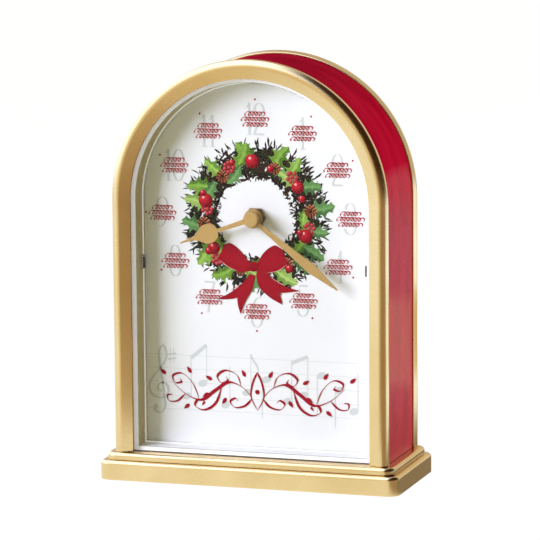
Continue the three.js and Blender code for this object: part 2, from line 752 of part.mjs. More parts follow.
// Right half of an outline along +Y, closed by its mirror image
function mirrored(shape) {
  const right = shape.getPoints(CURVE_STEPS);
  const left = right.map(({ x, y }) => new THREE.Vector2(-x, y)).reverse();
  return new THREE.Shape([...right, ...left]);
}

function spadeOutline() {
  const swell = (HOUR_BELLY_AT - HOUR_NECK_AT) / 2;
  const fall = (HOUR_WAIST_AT - HOUR_BELLY_AT) / 2;
  const shape = new THREE.Shape();
  shape.moveTo(HOUR_ARM, 0);
  shape.lineTo(HOUR_NECK, HOUR_NECK_AT);
  shape.bezierCurveTo(
    HOUR_BELLY - HOUR_ARM, HOUR_NECK_AT,
    HOUR_BELLY, HOUR_BELLY_AT - swell,
    HOUR_BELLY, HOUR_BELLY_AT,
  );
  shape.bezierCurveTo(
    HOUR_BELLY, HOUR_BELLY_AT + fall,
    HOUR_WAIST + HOUR_ARM / 2, HOUR_WAIST_AT - fall,
    HOUR_WAIST, HOUR_WAIST_AT,
  );
  shape.lineTo(HAND_TIP, HOUR_LENGTH);
  return mirrored(shape);
}

function leafOutline() {
  const shape = new THREE.Shape();
  shape.moveTo(MINUTE_WAIST, 0);
  shape.quadraticCurveTo(MINUTE_ARM, MINUTE_ARM_AT, MINUTE_BELLY, MINUTE_BELLY_AT);
  shape.lineTo(HAND_TIP, minuteLength);
  return mirrored(shape);
}

function handNut() {
  const cap = turned([
    [0, capFront],
    [CAP_RADIUS - CAP_EDGE, capFront],
    [CAP_RADIUS, capFront + CAP_EDGE],
    [CAP_RADIUS, capBack],
    [0, capBack],
  ], hub);
  return cut(cap, rod(ARBOR_RADIUS + SEAT, arborFront - SEAT, capBack + OVERCUT, hub));
}

piece('hour_hand', hand(
  spadeOutline(), HOUR_HUB_RADIUS, hourBladeFront, hourBladeBack, hourHubBack, TUBE_RADIUS + SEAT,
  HOUR_ANGLE,
), BRASS);
piece('minute_hand', hand(
  leafOutline(), MINUTE_HUB_RADIUS, minuteBladeFront, minuteBladeBack, minuteHubBack, ARBOR_RADIUS + SEAT,
  MINUTE_ANGLE,
), BRASS);
piece('hand_nut', handNut(), BRASS);

// Fixing of the movement: nut on the dial and rubber washer behind the board
function mountingNut() {
  const corners = [];
  for (let i = 0; i < 6; i += 1) {
    const angle = (Math.PI / 3) * i;
    const reach = NUT_FLATS / 2 / Math.cos(Math.PI / 6);
    corners.push(new THREE.Vector2(hub.x + reach * Math.cos(angle), hub.z + reach * Math.sin(angle)));
  }
  const bore = rod(BUSH_RADIUS + SEAT, nutFront - OVERCUT, nutBack + OVERCUT, hub);
  return cut(prism(new THREE.Shape(corners), nutFront, nutBack), bore);
}

const washerBore = BUSH_RADIUS + FIT;
piece('mounting_nut', mountingNut(), BRASS);
piece('rubber_washer', turned([
  [washerBore, washerFront],
  [WASHER_RADIUS, washerFront],
  [WASHER_RADIUS, washerBack],
  [washerBore, washerBack],
], hub), DARK);

// Gear places: the intermediate pair sets its own module so that both of its meshes share one distance
const intermediateReach = (GOING_MODULE * (CANNON_TEETH + INTERMEDIATE_TEETH)) / 2;
const hourModule = (2 * intermediateReach) / (INTERMEDIATE_PINION_TEETH + HOUR_TEETH);
const setReach = (GOING_MODULE * (INTERMEDIATE_TEETH + SET_TEETH)) / 2;
const driveReach = (GOING_MODULE * (CENTRE_TEETH + DRIVE_TEETH)) / 2;
const intermediateAt = along(hub, intermediateReach, INTERMEDIATE_DIRECTION);
const setAt = along(intermediateAt, setReach, SET_DIRECTION);
const driveAt = along(hub, driveReach, DRIVE_DIRECTION);
const intermediatePhase = meshedPhase(CANNON_TEETH, 0, INTERMEDIATE_TEETH, INTERMEDIATE_DIRECTION);
const setPhase = meshedPhase(INTERMEDIATE_TEETH, intermediatePhase, SET_TEETH, SET_DIRECTION);
const drivePhase = meshedPhase(CENTRE_TEETH, 0, DRIVE_TEETH, DRIVE_DIRECTION);
const hourPhase = meshedPhase(INTERMEDIATE_PINION_TEETH, 0, HOUR_TEETH, INTERMEDIATE_DIRECTION + 180);

// Movement: places of the electrics and of the controls on its back
const circuitRear = backInside - CONTROL_SPACE;
const circuitFront = circuitRear - CIRCUIT_THICKNESS;
const motorFront = bridgeBack + SEAT;
const motorRear = circuitFront - MOTOR_SPACE;
const coverFront = movementRear - COVER_THICKNESS;
const cellY = coverFront - SEAT - CELL_GAP - CELL_RADIUS;
const bayFront = cellY - CELL_RADIUS - CELL_GAP;
const bayLength = 2 * CONTACT_THICKNESS + LEAF_HEIGHT + CELL_TIP_LENGTH + CELL_LENGTH + 4 * SEAT;
const bayHalf = bayLength / 2;
const recessHalf = bayHalf + COVER_LEDGE;
const blockBottom = movementBottom + MOVEMENT_WALL + FIT;
const recessBottom = blockBottom + MOVEMENT_WALL;
const bayBottom = recessBottom + COVER_LEDGE;
const lowerCellZ = bayBottom + CELL_GAP + CELL_RADIUS;
const upperCellZ = lowerCellZ + CELL_GAP + 2 * CELL_RADIUS;
const bayTop = upperCellZ + CELL_RADIUS + CELL_GAP;
const recessTop = bayTop + COVER_LEDGE;
const coverAxisY = movementRear - COVER_THICKNESS / 2;
const coverAxisZ = recessBottom + FIT + COVER_THICKNESS / 2;
const knobRear = movementRear + KNOB_SHOW;
const knobFront = knobRear - KNOB_DEPTH;
const wellFloor = knobFront - WELL_FLOOR_GAP;
const wellRadius = KNOB_RADIUS + WELL_GAP;
const volumeY = movementRear + VOLUME_SHOW - VOLUME_RADIUS;
const volumeZ = hubZ + VOLUME_Z;
const switchZ = hubZ + SWITCH_Z;
const switchFlangeRear = backInside - RUN;
const switchFlangeFront = switchFlangeRear - SWITCH_FLANGE;
const buttonAt = { x: BUTTON_X, z: hubZ + BUTTON_Z };
const leadHoleY = movementFront + MOVEMENT_WALL + LEAD_Y;

function movementOutline(inset) {
  const half = MOVEMENT_WIDTH / 2 - inset;
  return rectangle(-half, half, movementBottom + inset, movementTop - inset, MOVEMENT_CORNER - inset);
}

function cornerPosts(halfWidth, rise, drop) {
  const x = halfWidth - POST_INSET;
  const heights = [hubZ + rise - POST_INSET, hubZ - drop + POST_INSET];
  return heights.flatMap((z) => [{ x: -x, z }, { x, z }]);
}

const bridgePosts = cornerPosts(BRIDGE_HALF_WIDTH, BRIDGE_RISE, BRIDGE_DROP);
const circuitPosts = cornerPosts(CIRCUIT_HALF_WIDTH, CIRCUIT_RISE, CIRCUIT_DROP);

function movementFrontCase() {
  const wallInside = movementFront + MOVEMENT_WALL;
  const rooted = movementFront + MOVEMENT_WALL / 2;
  const bossRear = gearLayer(1) - SEAT;
  const shell = cut(
    prism(movementOutline(0), movementFront, movementPart - SEAT / 2),
    prism(movementOutline(MOVEMENT_WALL), wallInside, movementPart + OVERCUT),
  );
  const leadHoleEnds = [movementBottom - OVERCUT, movementBottom + MOVEMENT_WALL + OVERCUT];
  const leadHole = uprightRod(LEAD_RADIUS + 2 * FIT, ...leadHoleEnds, LEAD_X, leadHoleY);
  const standing = [
    rod(BUSH_RADIUS, bushFront, rooted, hub),
    rod(STUD_RADIUS, rooted, studRear, intermediateAt, SMALL_ROUND_STEPS),
    rod(STEM_BOSS_RADIUS, rooted, bossRear, setAt, SMALL_ROUND_STEPS),
    ...bridgePosts.map((at) => rod(POST_RADIUS, rooted, bridgeFront - SEAT, at, SMALL_ROUND_STEPS)),
    ...bridgePosts.map((at) => rod(SPIGOT_RADIUS, rooted, bridgeBack, at, SMALL_ROUND_STEPS)),
  ];
  return cut(
    join(shell, ...standing),
    rod(TUBE_RADIUS + RUN, bushFront - OVERCUT, wallInside + OVERCUT, hub),
    rod(STEM_PIVOT_RADIUS + RUN, rooted, bossRear + OVERCUT, setAt, SMALL_ROUND_STEPS),
    leadHole,
  );
}

function bridgePlate() {
  const outline = rectangle(
    -BRIDGE_HALF_WIDTH, BRIDGE_HALF_WIDTH,
    hubZ - BRIDGE_DROP, hubZ + BRIDGE_RISE,
    MOVEMENT_CORNER - MOVEMENT_WALL,
  );
  const ends = [bridgeFront - OVERCUT, bridgeBack + OVERCUT];
  const through = (radius, at) => rod(radius, ...ends, at, SMALL_ROUND_STEPS);
  return cut(
    prism(outline, bridgeFront, bridgeBack),
    through(ARBOR_RADIUS + RUN, hub),
    through(STEM_RADIUS + RUN, setAt),
    through(DRIVE_SHAFT_RADIUS + RUN, driveAt),
    ...bridgePosts.map((at) => through(SPIGOT_RADIUS + SEAT, at)),
  );
}

piece('movement_front', movementFrontCase(), DARK);
piece('bridge_plate', bridgePlate(), NYLON);

// Going and motion work: every wheel is in mesh at rest
piece('centre_arbor', join(
  rod(ARBOR_RADIUS, arborFront, bridgeBack, hub, SMALL_ROUND_STEPS),
  gear(CANNON_TEETH, GOING_MODULE, 0, 1, hub),
  gear(CENTRE_TEETH, GOING_MODULE, 0, 2, hub),
), BRASS);
piece('hour_wheel', cut(
  join(
    gear(HOUR_TEETH, hourModule, hourPhase, 0, hub),
    rod(TUBE_RADIUS, tubeFront, gearLayer(0) + GEAR_FACE / 2, hub),
  ),
  rod(ARBOR_RADIUS + RUN, tubeFront - OVERCUT, gearLayer(1), hub, SMALL_ROUND_STEPS),
), NYLON);
piece('intermediate_wheel', cut(
  join(
    gear(INTERMEDIATE_TEETH, GOING_MODULE, intermediatePhase, 1, intermediateAt),
    gear(INTERMEDIATE_PINION_TEETH, hourModule, 0, 0, intermediateAt),
    rod(STUD_RADIUS + LAYER_GAP, gearLayer(0), gearLayer(1) + GEAR_FACE, intermediateAt, SMALL_ROUND_STEPS),
  ),
  rod(STUD_RADIUS + RUN, gearLayer(0) - OVERCUT, gearLayer(2), intermediateAt, SMALL_ROUND_STEPS),
), NYLON);
piece('drive_pinion', join(
  gear(DRIVE_TEETH, GOING_MODULE, drivePhase, 2, driveAt),
  rod(DRIVE_SHAFT_RADIUS, gearLayer(2), motorFront + GEAR_FACE, driveAt, SMALL_ROUND_STEPS),
), BRASS);
piece('set_stem', join(
  gear(SET_TEETH, GOING_MODULE, setPhase, 1, setAt),
  rod(STEM_PIVOT_RADIUS, movementFront + MOVEMENT_WALL, gearLayer(1) + GEAR_FACE, setAt, SMALL_ROUND_STEPS),
  rod(STEM_RADIUS, gearLayer(1), knobRear - KNOB_DEPTH / 2, setAt, SMALL_ROUND_STEPS),
), NYLON);

// Wheel rim with grips cut round it
function grippedDisc(radius, grips) {
  const points = [];
  for (let i = 0; i < 4 * grips; i += 1) {
    const angle = (2 * Math.PI * i) / (4 * grips);
    const reach = i % 4 < 2 ? radius : radius - FIT;
    points.push(new THREE.Vector2(reach * Math.cos(angle), reach * Math.sin(angle)));
  }
  return new THREE.Shape(points);
}

piece('set_knob', cut(
  prism(grippedDisc(KNOB_RADIUS, KNOB_GRIPS), knobFront, knobRear).translate(setAt.x, 0, setAt.z),
  rod(STEM_RADIUS + SEAT, knobFront - OVERCUT, knobRear - KNOB_DEPTH / 2 + SEAT, setAt, SMALL_ROUND_STEPS),
), DARK);

// Electrics: motor, circuit board with its sockets for the controls, crystal, cells and contacts
const motorLeft = driveAt.x - MOTOR_SIDE;
const motorBottom = driveAt.z - MOTOR_FOOT;
piece('motor_unit', cut(
  box(motorLeft, motorLeft + MOTOR_WIDTH, motorFront, motorRear, motorBottom, motorBottom + MOTOR_HEIGHT),
  rod(
    DRIVE_SHAFT_RADIUS + RUN, motorFront - OVERCUT, motorFront + GEAR_FACE + FIT, driveAt, SMALL_ROUND_STEPS,
  ),
), DARK);

const switchReach = SWITCH_WIDTH / 2 + SWITCH_TRAVEL + SWITCH_FLANGE;
const buttonFlangeFront = backInside - RUN - BUTTON_FLANGE;
const buttonStemFront = (circuitRear + buttonFlangeFront) / 2;
const buttonStopRear = buttonStemFront - BUTTON_TRAVEL - SEAT;
const cheekGap = VOLUME_WIDTH / 2 + FIT;

function circuitBoard() {
  const plate = box(
    -CIRCUIT_HALF_WIDTH, CIRCUIT_HALF_WIDTH,
    circuitFront, circuitRear,
    hubZ - CIRCUIT_DROP, hubZ + CIRCUIT_RISE,
  );
  const rooted = circuitFront + CIRCUIT_THICKNESS / 2;
  const switchBody = box(
    SWITCH_X - switchReach - SWITCH_TRAVEL,
    SWITCH_X + switchReach + SWITCH_TRAVEL,
    rooted,
    switchFlangeFront - RUN,
    switchZ - SWITCH_HEIGHT,
    switchZ + SWITCH_HEIGHT,
  );
  const buttonStop = box(
    buttonAt.x - BUTTON_RADIUS, buttonAt.x + BUTTON_RADIUS, rooted, buttonStopRear,
    buttonAt.z - BUTTON_RADIUS, buttonAt.z + BUTTON_RADIUS,
  );
  const cheeks = [-1, 1].map((side) => {
    const edges = ordered(VOLUME_X + side * cheekGap, VOLUME_X + side * (cheekGap + VOLUME_CHEEK));
    const margin = 2 * VOLUME_AXLE;
    return box(...edges, rooted, volumeY + margin, volumeZ - margin, volumeZ + margin);
  });
  const axleReach = cheekGap + VOLUME_CHEEK + OVERCUT;
  return cut(
    join(plate, switchBody, buttonStop, ...cheeks),
    crossRod(VOLUME_AXLE + RUN, VOLUME_X - axleReach, VOLUME_X + axleReach, volumeY, volumeZ),
    rod(STEM_RADIUS + FIT, circuitFront - OVERCUT, circuitRear + OVERCUT, setAt, SMALL_ROUND_STEPS),
  );
}

piece('circuit_board', circuitBoard(), GREEN);
const crystalEnd = -MOTOR_SIDE;
piece('quartz_crystal', crossRod(
  CRYSTAL_RADIUS, crystalEnd - CRYSTAL_LENGTH, crystalEnd, circuitFront - SEAT - CRYSTAL_RADIUS, buttonAt.z,
), STEEL);

// Cell lying along X; its tip points left for side -1 and right for side 1
function cell(side, z) {
  const lying = turned([
    [0, 0],
    [CELL_RADIUS, 0],
    [CELL_RADIUS, CELL_LENGTH],
    [CELL_TIP_RADIUS, CELL_LENGTH],
    [CELL_TIP_RADIUS, CELL_LENGTH + CELL_TIP_LENGTH],
    [0, CELL_LENGTH + CELL_TIP_LENGTH],
  ], { x: 0, z: 0 }).rotateZ((-side * Math.PI) / 2);
  const tipEnd = side * (bayHalf - SEAT - CONTACT_THICKNESS - SEAT);
  return lying.translate(tipEnd - side * (CELL_LENGTH + CELL_TIP_LENGTH), cellY, z);
}

// Contact plate on an end wall of the bay, and the bent leaf that presses on a cell
function contactPlate(side, bottom, top) {
  const wall = side * (bayHalf - SEAT);
  const edges = ordered(wall, wall - side * CONTACT_THICKNESS);
  return box(...edges, cellY - CONTACT_REACH, cellY + CONTACT_REACH, bottom, top);
}

function contactLeaf(side, z) {
  const wall = bayHalf - SEAT - CONTACT_THICKNESS / 2;
  const tip = bayHalf - SEAT - CONTACT_THICKNESS - LEAF_HEIGHT;
  const foot = CONTACT_REACH - CONTACT_THICKNESS;
  const outline = [
    [wall, -foot],
    [tip, -LEAF_TIP],
    [tip, LEAF_TIP],
    [wall, foot],
    [wall, foot - 2 * CONTACT_THICKNESS],
    [tip + CONTACT_THICKNESS, LEAF_TIP - CONTACT_THICKNESS],
    [tip + CONTACT_THICKNESS, CONTACT_THICKNESS - LEAF_TIP],
    [wall, 2 * CONTACT_THICKNESS - foot],
  ];
  const shape = new THREE.Shape(outline.map(([x, up]) => new THREE.Vector2(side * x, z + up)));
  return prism(shape, cellY - LEAF_TIP, cellY + LEAF_TIP);
}

piece('cell_upper', cell(-1, upperCellZ), CELL_WRAP);
piece('cell_lower', cell(1, lowerCellZ), CELL_WRAP);
piece('contact_positive', contactPlate(-1, upperCellZ - CONTACT_REACH, upperCellZ + CONTACT_REACH), STEEL);
piece('contact_negative', join(
  contactPlate(-1, lowerCellZ - CONTACT_REACH, lowerCellZ + CONTACT_REACH),
  contactLeaf(-1, lowerCellZ),
), STEEL);
piece('contact_link', join(
  contactPlate(1, lowerCellZ - CONTACT_REACH, upperCellZ + CONTACT_REACH),
  contactLeaf(1, upperCellZ),
), STEEL);

// Back half of the movement: battery bay, knob well and the openings for the controls
function movementRearCase() {
  const rooted = movementRear - MOVEMENT_WALL / 2;
  const blockHalf = recessHalf + MOVEMENT_WALL;
  const blockTop = recessTop + MOVEMENT_WALL;
  const shell = cut(
    prism(movementOutline(0), movementPart + SEAT / 2, movementRear),
    prism(movementOutline(MOVEMENT_WALL), movementPart - OVERCUT, backInside),
  );
  const bayBlock = box(-blockHalf, blockHalf, bayFront - MOVEMENT_WALL, rooted, blockBottom, blockTop);
  const well = rod(wellRadius + WELL_WALL, wellFloor - WELL_WALL, rooted, setAt);
  const postFront = circuitRear + SEAT;
  const posts = circuitPosts.map((at) => rod(POST_RADIUS, postFront, rooted, at, SMALL_ROUND_STEPS));
  const coverSeat = coverFront - SEAT;
  const socket = recessHalf + COVER_PIN_LENGTH;
  const slotHalf = Math.sqrt((VOLUME_RADIUS + FIT) ** 2 - (backInside - volumeY) ** 2) + FIT;
  const inside = backInside - OVERCUT;
  const outside = movementRear + OVERCUT;
  return cut(
    join(shell, bayBlock, well, ...posts),
    box(-bayHalf, bayHalf, bayFront, outside, bayBottom, bayTop),
    box(-recessHalf, recessHalf, coverSeat, outside, recessBottom, recessTop),
    crossRod(COVER_PIN_RADIUS + RUN, -socket, socket, coverAxisY, coverAxisZ),
    rod(wellRadius, wellFloor, outside, setAt),
    rod(STEM_RADIUS + RUN, wellFloor - WELL_WALL - OVERCUT, outside, setAt, SMALL_ROUND_STEPS),
    box(VOLUME_X - cheekGap, VOLUME_X + cheekGap, inside, outside, volumeZ - slotHalf, volumeZ + slotHalf),
    box(
      SWITCH_X - SWITCH_WIDTH / 2 - SWITCH_TRAVEL - FIT,
      SWITCH_X + SWITCH_WIDTH / 2 + SWITCH_TRAVEL + FIT,
      inside,
      outside,
      switchZ - SWITCH_HEIGHT / 2 - RUN,
      switchZ + SWITCH_HEIGHT / 2 + RUN,
    ),
    rod(BUTTON_RADIUS + RUN, inside, outside, buttonAt),
  );
}

function batteryCover() {
  const half = recessHalf - FIT;
  const top = recessTop - FIT;
  const pinHalf = half + COVER_PIN_LENGTH;
  const gripZ = top - COVER_GRIP_DROP;
  return cut(
    join(
      box(-half, half, coverFront, movementRear, coverAxisZ, top),
      crossRod(COVER_THICKNESS / 2, -half, half, coverAxisY, coverAxisZ),
      crossRod(COVER_PIN_RADIUS, -pinHalf, pinHalf, coverAxisY, coverAxisZ),
    ),
    crossRod(COVER_GRIP_RADIUS, -COVER_GRIP_WIDTH / 2, COVER_GRIP_WIDTH / 2, movementRear, gripZ),
  );
}

piece('movement_rear', movementRearCase(), DARK);
piece('battery_cover', batteryCover(), DARK);

// Controls: volume wheel, melody switch and demonstration button
const wheelFront = -VOLUME_WIDTH / 2;
const axleHalf = cheekGap + VOLUME_CHEEK;
const volumeDisc = prism(grippedDisc(VOLUME_RADIUS, VOLUME_GRIPS), wheelFront, -wheelFront);
piece('volume_wheel', join(
  volumeDisc.rotateZ(Math.PI / 2).translate(VOLUME_X, volumeY, volumeZ),
  crossRod(VOLUME_AXLE, VOLUME_X - axleHalf, VOLUME_X + axleHalf, volumeY, volumeZ),
), DARK);
piece('melody_switch', join(
  box(
    SWITCH_X - switchReach, SWITCH_X + switchReach, switchFlangeFront, switchFlangeRear,
    switchZ - SWITCH_HEIGHT, switchZ + SWITCH_HEIGHT,
  ),
  box(
    SWITCH_X - SWITCH_WIDTH / 2, SWITCH_X + SWITCH_WIDTH / 2, switchFlangeFront, movementRear + SWITCH_SHOW,
    switchZ - SWITCH_HEIGHT / 2, switchZ + SWITCH_HEIGHT / 2,
  ),
), NYLON);
piece('demo_button', turned([
  [0, buttonStemFront],
  [BUTTON_STEM_RADIUS, buttonStemFront],
  [BUTTON_STEM_RADIUS, buttonFlangeFront],
  [BUTTON_RADIUS + BUTTON_FLANGE, buttonFlangeFront],
  [BUTTON_RADIUS + BUTTON_FLANGE, backInside - RUN],
  [BUTTON_RADIUS, backInside - RUN],
  [BUTTON_RADIUS, movementRear + BUTTON_SHOW],
  [0, movementRear + BUTTON_SHOW],
], buttonAt), NYLON);

// Speaker: frame against the back panel, sprung cone, magnet and the lead from the movement
const speakerAt = { x: 0, z: (floorZ + movementBottom) / 2 };
const rimRear = panelFront - SEAT;
const rimFront = rimRear - SPEAKER_RIM_THICKNESS;
const collarRadius = SPEAKER_RADIUS - SPEAKER_RIM;
const collarFront = rimRear - SPEAKER_COLLAR;
const basketFront = rimRear - SPEAKER_DEPTH;
const magnetRear = basketFront - SEAT;
const coneEdge = collarRadius - CONE_TRAVEL - RUN;
const coneRear = rimRear - CONE_SINK;
const coilRear = basketFront + SPEAKER_STEEL + 2 * CONE_SINK;

piece('speaker_frame', turned([
  [COIL_RADIUS, basketFront],
  [MAGNET_RADIUS, basketFront],
  [collarRadius + SPEAKER_STEEL, collarFront],
  [collarRadius + SPEAKER_STEEL, rimFront],
  [SPEAKER_RADIUS, rimFront],
  [SPEAKER_RADIUS, rimRear],
  [collarRadius, rimRear],
  [collarRadius, collarFront],
  [MAGNET_RADIUS - SPEAKER_STEEL, basketFront + SPEAKER_STEEL],
  [COIL_RADIUS, basketFront + SPEAKER_STEEL],
], speakerAt), STEEL);
piece('speaker_cone', turned([
  [0, coilRear + DOME_HEIGHT - CONE_THICKNESS],
  [COIL_RADIUS, coilRear - CONE_THICKNESS],
  [coneEdge, coneRear - CONE_THICKNESS],
  [coneEdge, coneRear],
  [COIL_RADIUS, coilRear],
  [0, coilRear + DOME_HEIGHT],
], speakerAt), PAPER);
piece('speaker_magnet', rod(MAGNET_RADIUS, magnetRear - MAGNET_THICKNESS, magnetRear, speakerAt), STEEL);

function speakerLead() {
  const magnetTop = speakerAt.z + MAGNET_RADIUS + SEAT;
  const magnetMiddle = magnetRear - MAGNET_THICKNESS / 2;
  const route = new THREE.CatmullRomCurve3([
    new THREE.Vector3(LEAD_X, leadHoleY, movementBottom + 2 * MOVEMENT_WALL),
    new THREE.Vector3(LEAD_X, leadHoleY, movementBottom - 2 * MOVEMENT_WALL),
    new THREE.Vector3(LEAD_X / 2, magnetMiddle, (movementBottom + magnetTop) / 2),
    new THREE.Vector3(0, magnetMiddle, magnetTop + MOVEMENT_WALL),
    new THREE.Vector3(0, magnetMiddle, magnetTop),
  ]);
  const section = new THREE.Shape().absarc(0, 0, LEAD_RADIUS, 0, 2 * Math.PI);
  return new THREE.ExtrudeGeometry(section, {
    extrudePath: route,
    steps: LEAD_STEPS,
    curveSegments: LEAD_SIDES / 2,
    bevelEnabled: false,
  });
}

piece('speaker_lead', speakerLead(), DARK);

// Back panel round the movement, with sound slots behind the speaker
function soundSlots() {
  const field = SPEAKER_RADIUS - GRILLE_BORDER;
  const rows = Math.floor((field - GRILLE_SLOT) / GRILLE_PITCH);
  const slots = [];
  for (let row = -rows; row <= rows; row += 1) {
    const z = speakerAt.z + row * GRILLE_PITCH;
    const reach = Math.sqrt(field ** 2 - (row * GRILLE_PITCH) ** 2);
    const outline = rectangle(-reach, reach, z - GRILLE_SLOT / 2, z + GRILLE_SLOT / 2);
    slots.push(prism(outline, panelFront - OVERCUT, panelRear + OVERCUT));
  }
  return slots;
}

piece('back_panel', cut(
  archPlate(panelHalf, floorZ, panelFront, panelRear),
  prism(movementOutline(-FIT), panelFront - OVERCUT, panelRear + OVERCUT),
  ...soundSlots(),
  ...panelScrewHoles(panelFront - OVERCUT, panelRear + OVERCUT),
), DARK);
panelScrews.forEach(({ x, z }, i) => {
  const seat = panelRear + SEAT;
  const facingIn = screw(seat - ringFront - SEAT).rotateZ(Math.PI);
  piece(`panel_screw_${i + 1}`, facingIn.translate(x, seat, z), STEEL);
});

export default group;
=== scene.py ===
# %% [markdown]
# # An arched tabletop clock in gilt and red
#
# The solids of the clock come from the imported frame. This lesson dresses them. The parts that catch the
# eye are made again with fine, rounded meshes, the dial gets its print, and every surface gets a finish
# that is built from nodes. Lengths are in millimetres until a mesh is made, because Blender itself counts
# in metres.

import json
import math
import random

import bmesh
import bpy
from mathutils import Matrix, Vector


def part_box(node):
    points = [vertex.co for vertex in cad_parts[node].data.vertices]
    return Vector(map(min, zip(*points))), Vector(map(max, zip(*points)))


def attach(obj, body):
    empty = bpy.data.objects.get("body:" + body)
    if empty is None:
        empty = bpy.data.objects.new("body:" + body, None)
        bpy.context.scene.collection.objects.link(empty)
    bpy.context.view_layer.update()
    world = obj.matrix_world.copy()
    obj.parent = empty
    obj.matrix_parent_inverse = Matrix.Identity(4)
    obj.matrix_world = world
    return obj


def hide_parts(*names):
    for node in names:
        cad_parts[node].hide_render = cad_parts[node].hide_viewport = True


MM = 0.001
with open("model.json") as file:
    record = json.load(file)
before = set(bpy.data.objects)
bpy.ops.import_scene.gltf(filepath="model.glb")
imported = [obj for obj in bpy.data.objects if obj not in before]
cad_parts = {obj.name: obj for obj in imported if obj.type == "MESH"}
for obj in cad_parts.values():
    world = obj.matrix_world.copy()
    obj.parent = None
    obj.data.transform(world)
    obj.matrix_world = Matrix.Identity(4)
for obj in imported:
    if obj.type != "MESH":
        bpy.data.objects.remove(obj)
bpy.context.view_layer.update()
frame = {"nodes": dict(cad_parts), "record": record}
slot_of = {row["node"]: row["material_slot"] for row in frame["record"]["subparts"]}
print("solids:", len(frame["nodes"]), "slots:", len(set(slot_of.values())))

# %% [markdown]
# ## The camera
#
# A long lens stands a little to the right of the clock and looks slightly down. It could be aimed by a
# constraint, but three plain turns say it exactly: yaw turns about the vertical, pitch tips the lens and
# roll leans the picture.

# %% Camera
CAMERA_PLACE = (585.0, -1780.4, 401.5)
CAMERA_YAW = 18.108
CAMERA_PITCH = -8.76
CAMERA_ROLL = -0.465
LENS = 234.87


def new_object(name, data):
    """An object that holds the data and stands in the scene."""
    made = bpy.data.objects.new(name, data)
    bpy.context.scene.collection.objects.link(made)
    return made


def turn(degrees, axis):
    return Matrix.Rotation(math.radians(degrees), 3, axis)


camera = new_object("camera", bpy.data.cameras.new("camera"))
camera.data.lens = LENS
camera.location = Vector(CAMERA_PLACE) * MM
aim = turn(CAMERA_YAW, "Z") @ turn(90 + CAMERA_PITCH, "X") @ turn(CAMERA_ROLL, "Z")
camera.rotation_euler = aim.to_euler()
bpy.context.scene.camera = camera
print("camera lens:", camera.data.lens, "mm")

# %% [markdown]
# ## Node helpers
#
# Materials are built from shader nodes. Wiring each by hand takes many lines, so a few helpers do it.
# `fill` gives sockets of a node a link or a value, `add` makes a node, and `ramp` takes a value from one
# range to another. `group` makes a node group with named inputs and outputs, so that one effect serves
# many finishes.

# %% Node helpers
def fill(tree, node, inputs):
    """Fills sockets of a node: a socket is linked, anything else is written as the value."""
    for key, value in inputs.items():
        if isinstance(value, bpy.types.NodeSocket):
            tree.links.new(value, node.inputs[key])
        else:
            node.inputs[key].default_value = value


def add(tree, kind, inputs=None, **settings):
    """A shader node with its settings and sockets filled in."""
    made = tree.nodes.new("ShaderNode" + kind)
    for key, value in settings.items():
        setattr(made, key, value)
    fill(tree, made, inputs or {})
    return made


def group(name, inputs, outputs):
    """An empty node group, with its input sockets to read and its output node to fill."""
    tree = bpy.data.node_groups.new(name, "ShaderNodeTree")
    for label, value in inputs.items():
        tree.interface.new_socket(label, in_out="INPUT", socket_type="NodeSocketFloat").default_value = value
    for label, kind in outputs.items():
        tree.interface.new_socket(label, in_out="OUTPUT", socket_type="NodeSocket" + kind)
    given = tree.nodes.new("NodeGroupInput").outputs
    return tree, given, tree.nodes.new("NodeGroupOutput")


def math_node(tree, operation, first, second=0.0):
    return add(tree, "Math", {0: first, 1: second}, operation=operation).outputs[0]


def times(tree, first, second):
    return math_node(tree, "MULTIPLY", first, second)


def ramp(tree, value, low, high, first=0.0, last=1.0, kind="LINEAR"):
    """Goes from first to last as the value goes from low to high, and stays there beyond."""
    limits = {"Value": value, "From Min": low, "From Max": high, "To Min": first, "To Max": last}
    return add(tree, "MapRange", limits, interpolation_type=kind).outputs[0]


def blend_colours(tree, factor, first, second, mode="MIX"):
    made = add(tree, "Mix", {0: factor, 6: first, 7: second}, data_type="RGBA", blend_type=mode)
    return made.outputs[2]


def shade(red, green, blue):
    """A display colour of 0 to 255 as the linear colour that a shader takes."""
    shares = (red / 255, green / 255, blue / 255)
    linear = [c / 12.92 if c <= 0.04045 else ((c + 0.055) / 1.055) ** 2.4 for c in shares]
    return (*linear, 1.0)


print("node helpers ready")

# %% [markdown]
# ## Shared surface effects
#
# No real surface is one flat colour. Each effect could be built again inside every material, but as a
# group it is built once and placed with other values. *Fine grain* is a sandy tone and height. *Slow
# change* drifts between two values over the surface. *Edge mask* finds the rims, which the finishes make
# paler as wear and as a painted highlight. *Dust* settles on faces that look up.

# %% Shared surface effects
def object_place(tree):
    return add(tree, "TexCoord").outputs["Object"]


def axes_of(tree, vector):
    return add(tree, "SeparateXYZ", {0: vector}).outputs


def facing(tree):
    """The direction that the surface faces, as X, Y and Z."""
    return axes_of(tree, add(tree, "NewGeometry").outputs["Normal"])


def noise(tree, vector, scale, detail):
    return add(tree, "TexNoise", {"Vector": vector, "Scale": scale, "Detail": detail}).outputs[0]


def make_grain():
    tree, given, result = group(
        "fine grain", {"Scale": 900.0, "Depth": 0.1}, {"Tone": "Color", "Height": "Float"})
    height = noise(tree, object_place(tree), given["Scale"], 3.0)
    swing = times(tree, math_node(tree, "SUBTRACT", height, 0.5), given["Depth"])
    tone = math_node(tree, "ADD", times(tree, swing, 2.0), 1.0)
    colour = add(tree, "CombineColor", {0: tone, 1: tone, 2: tone}).outputs[0]
    fill(tree, result, {"Tone": colour, "Height": height})
    return tree


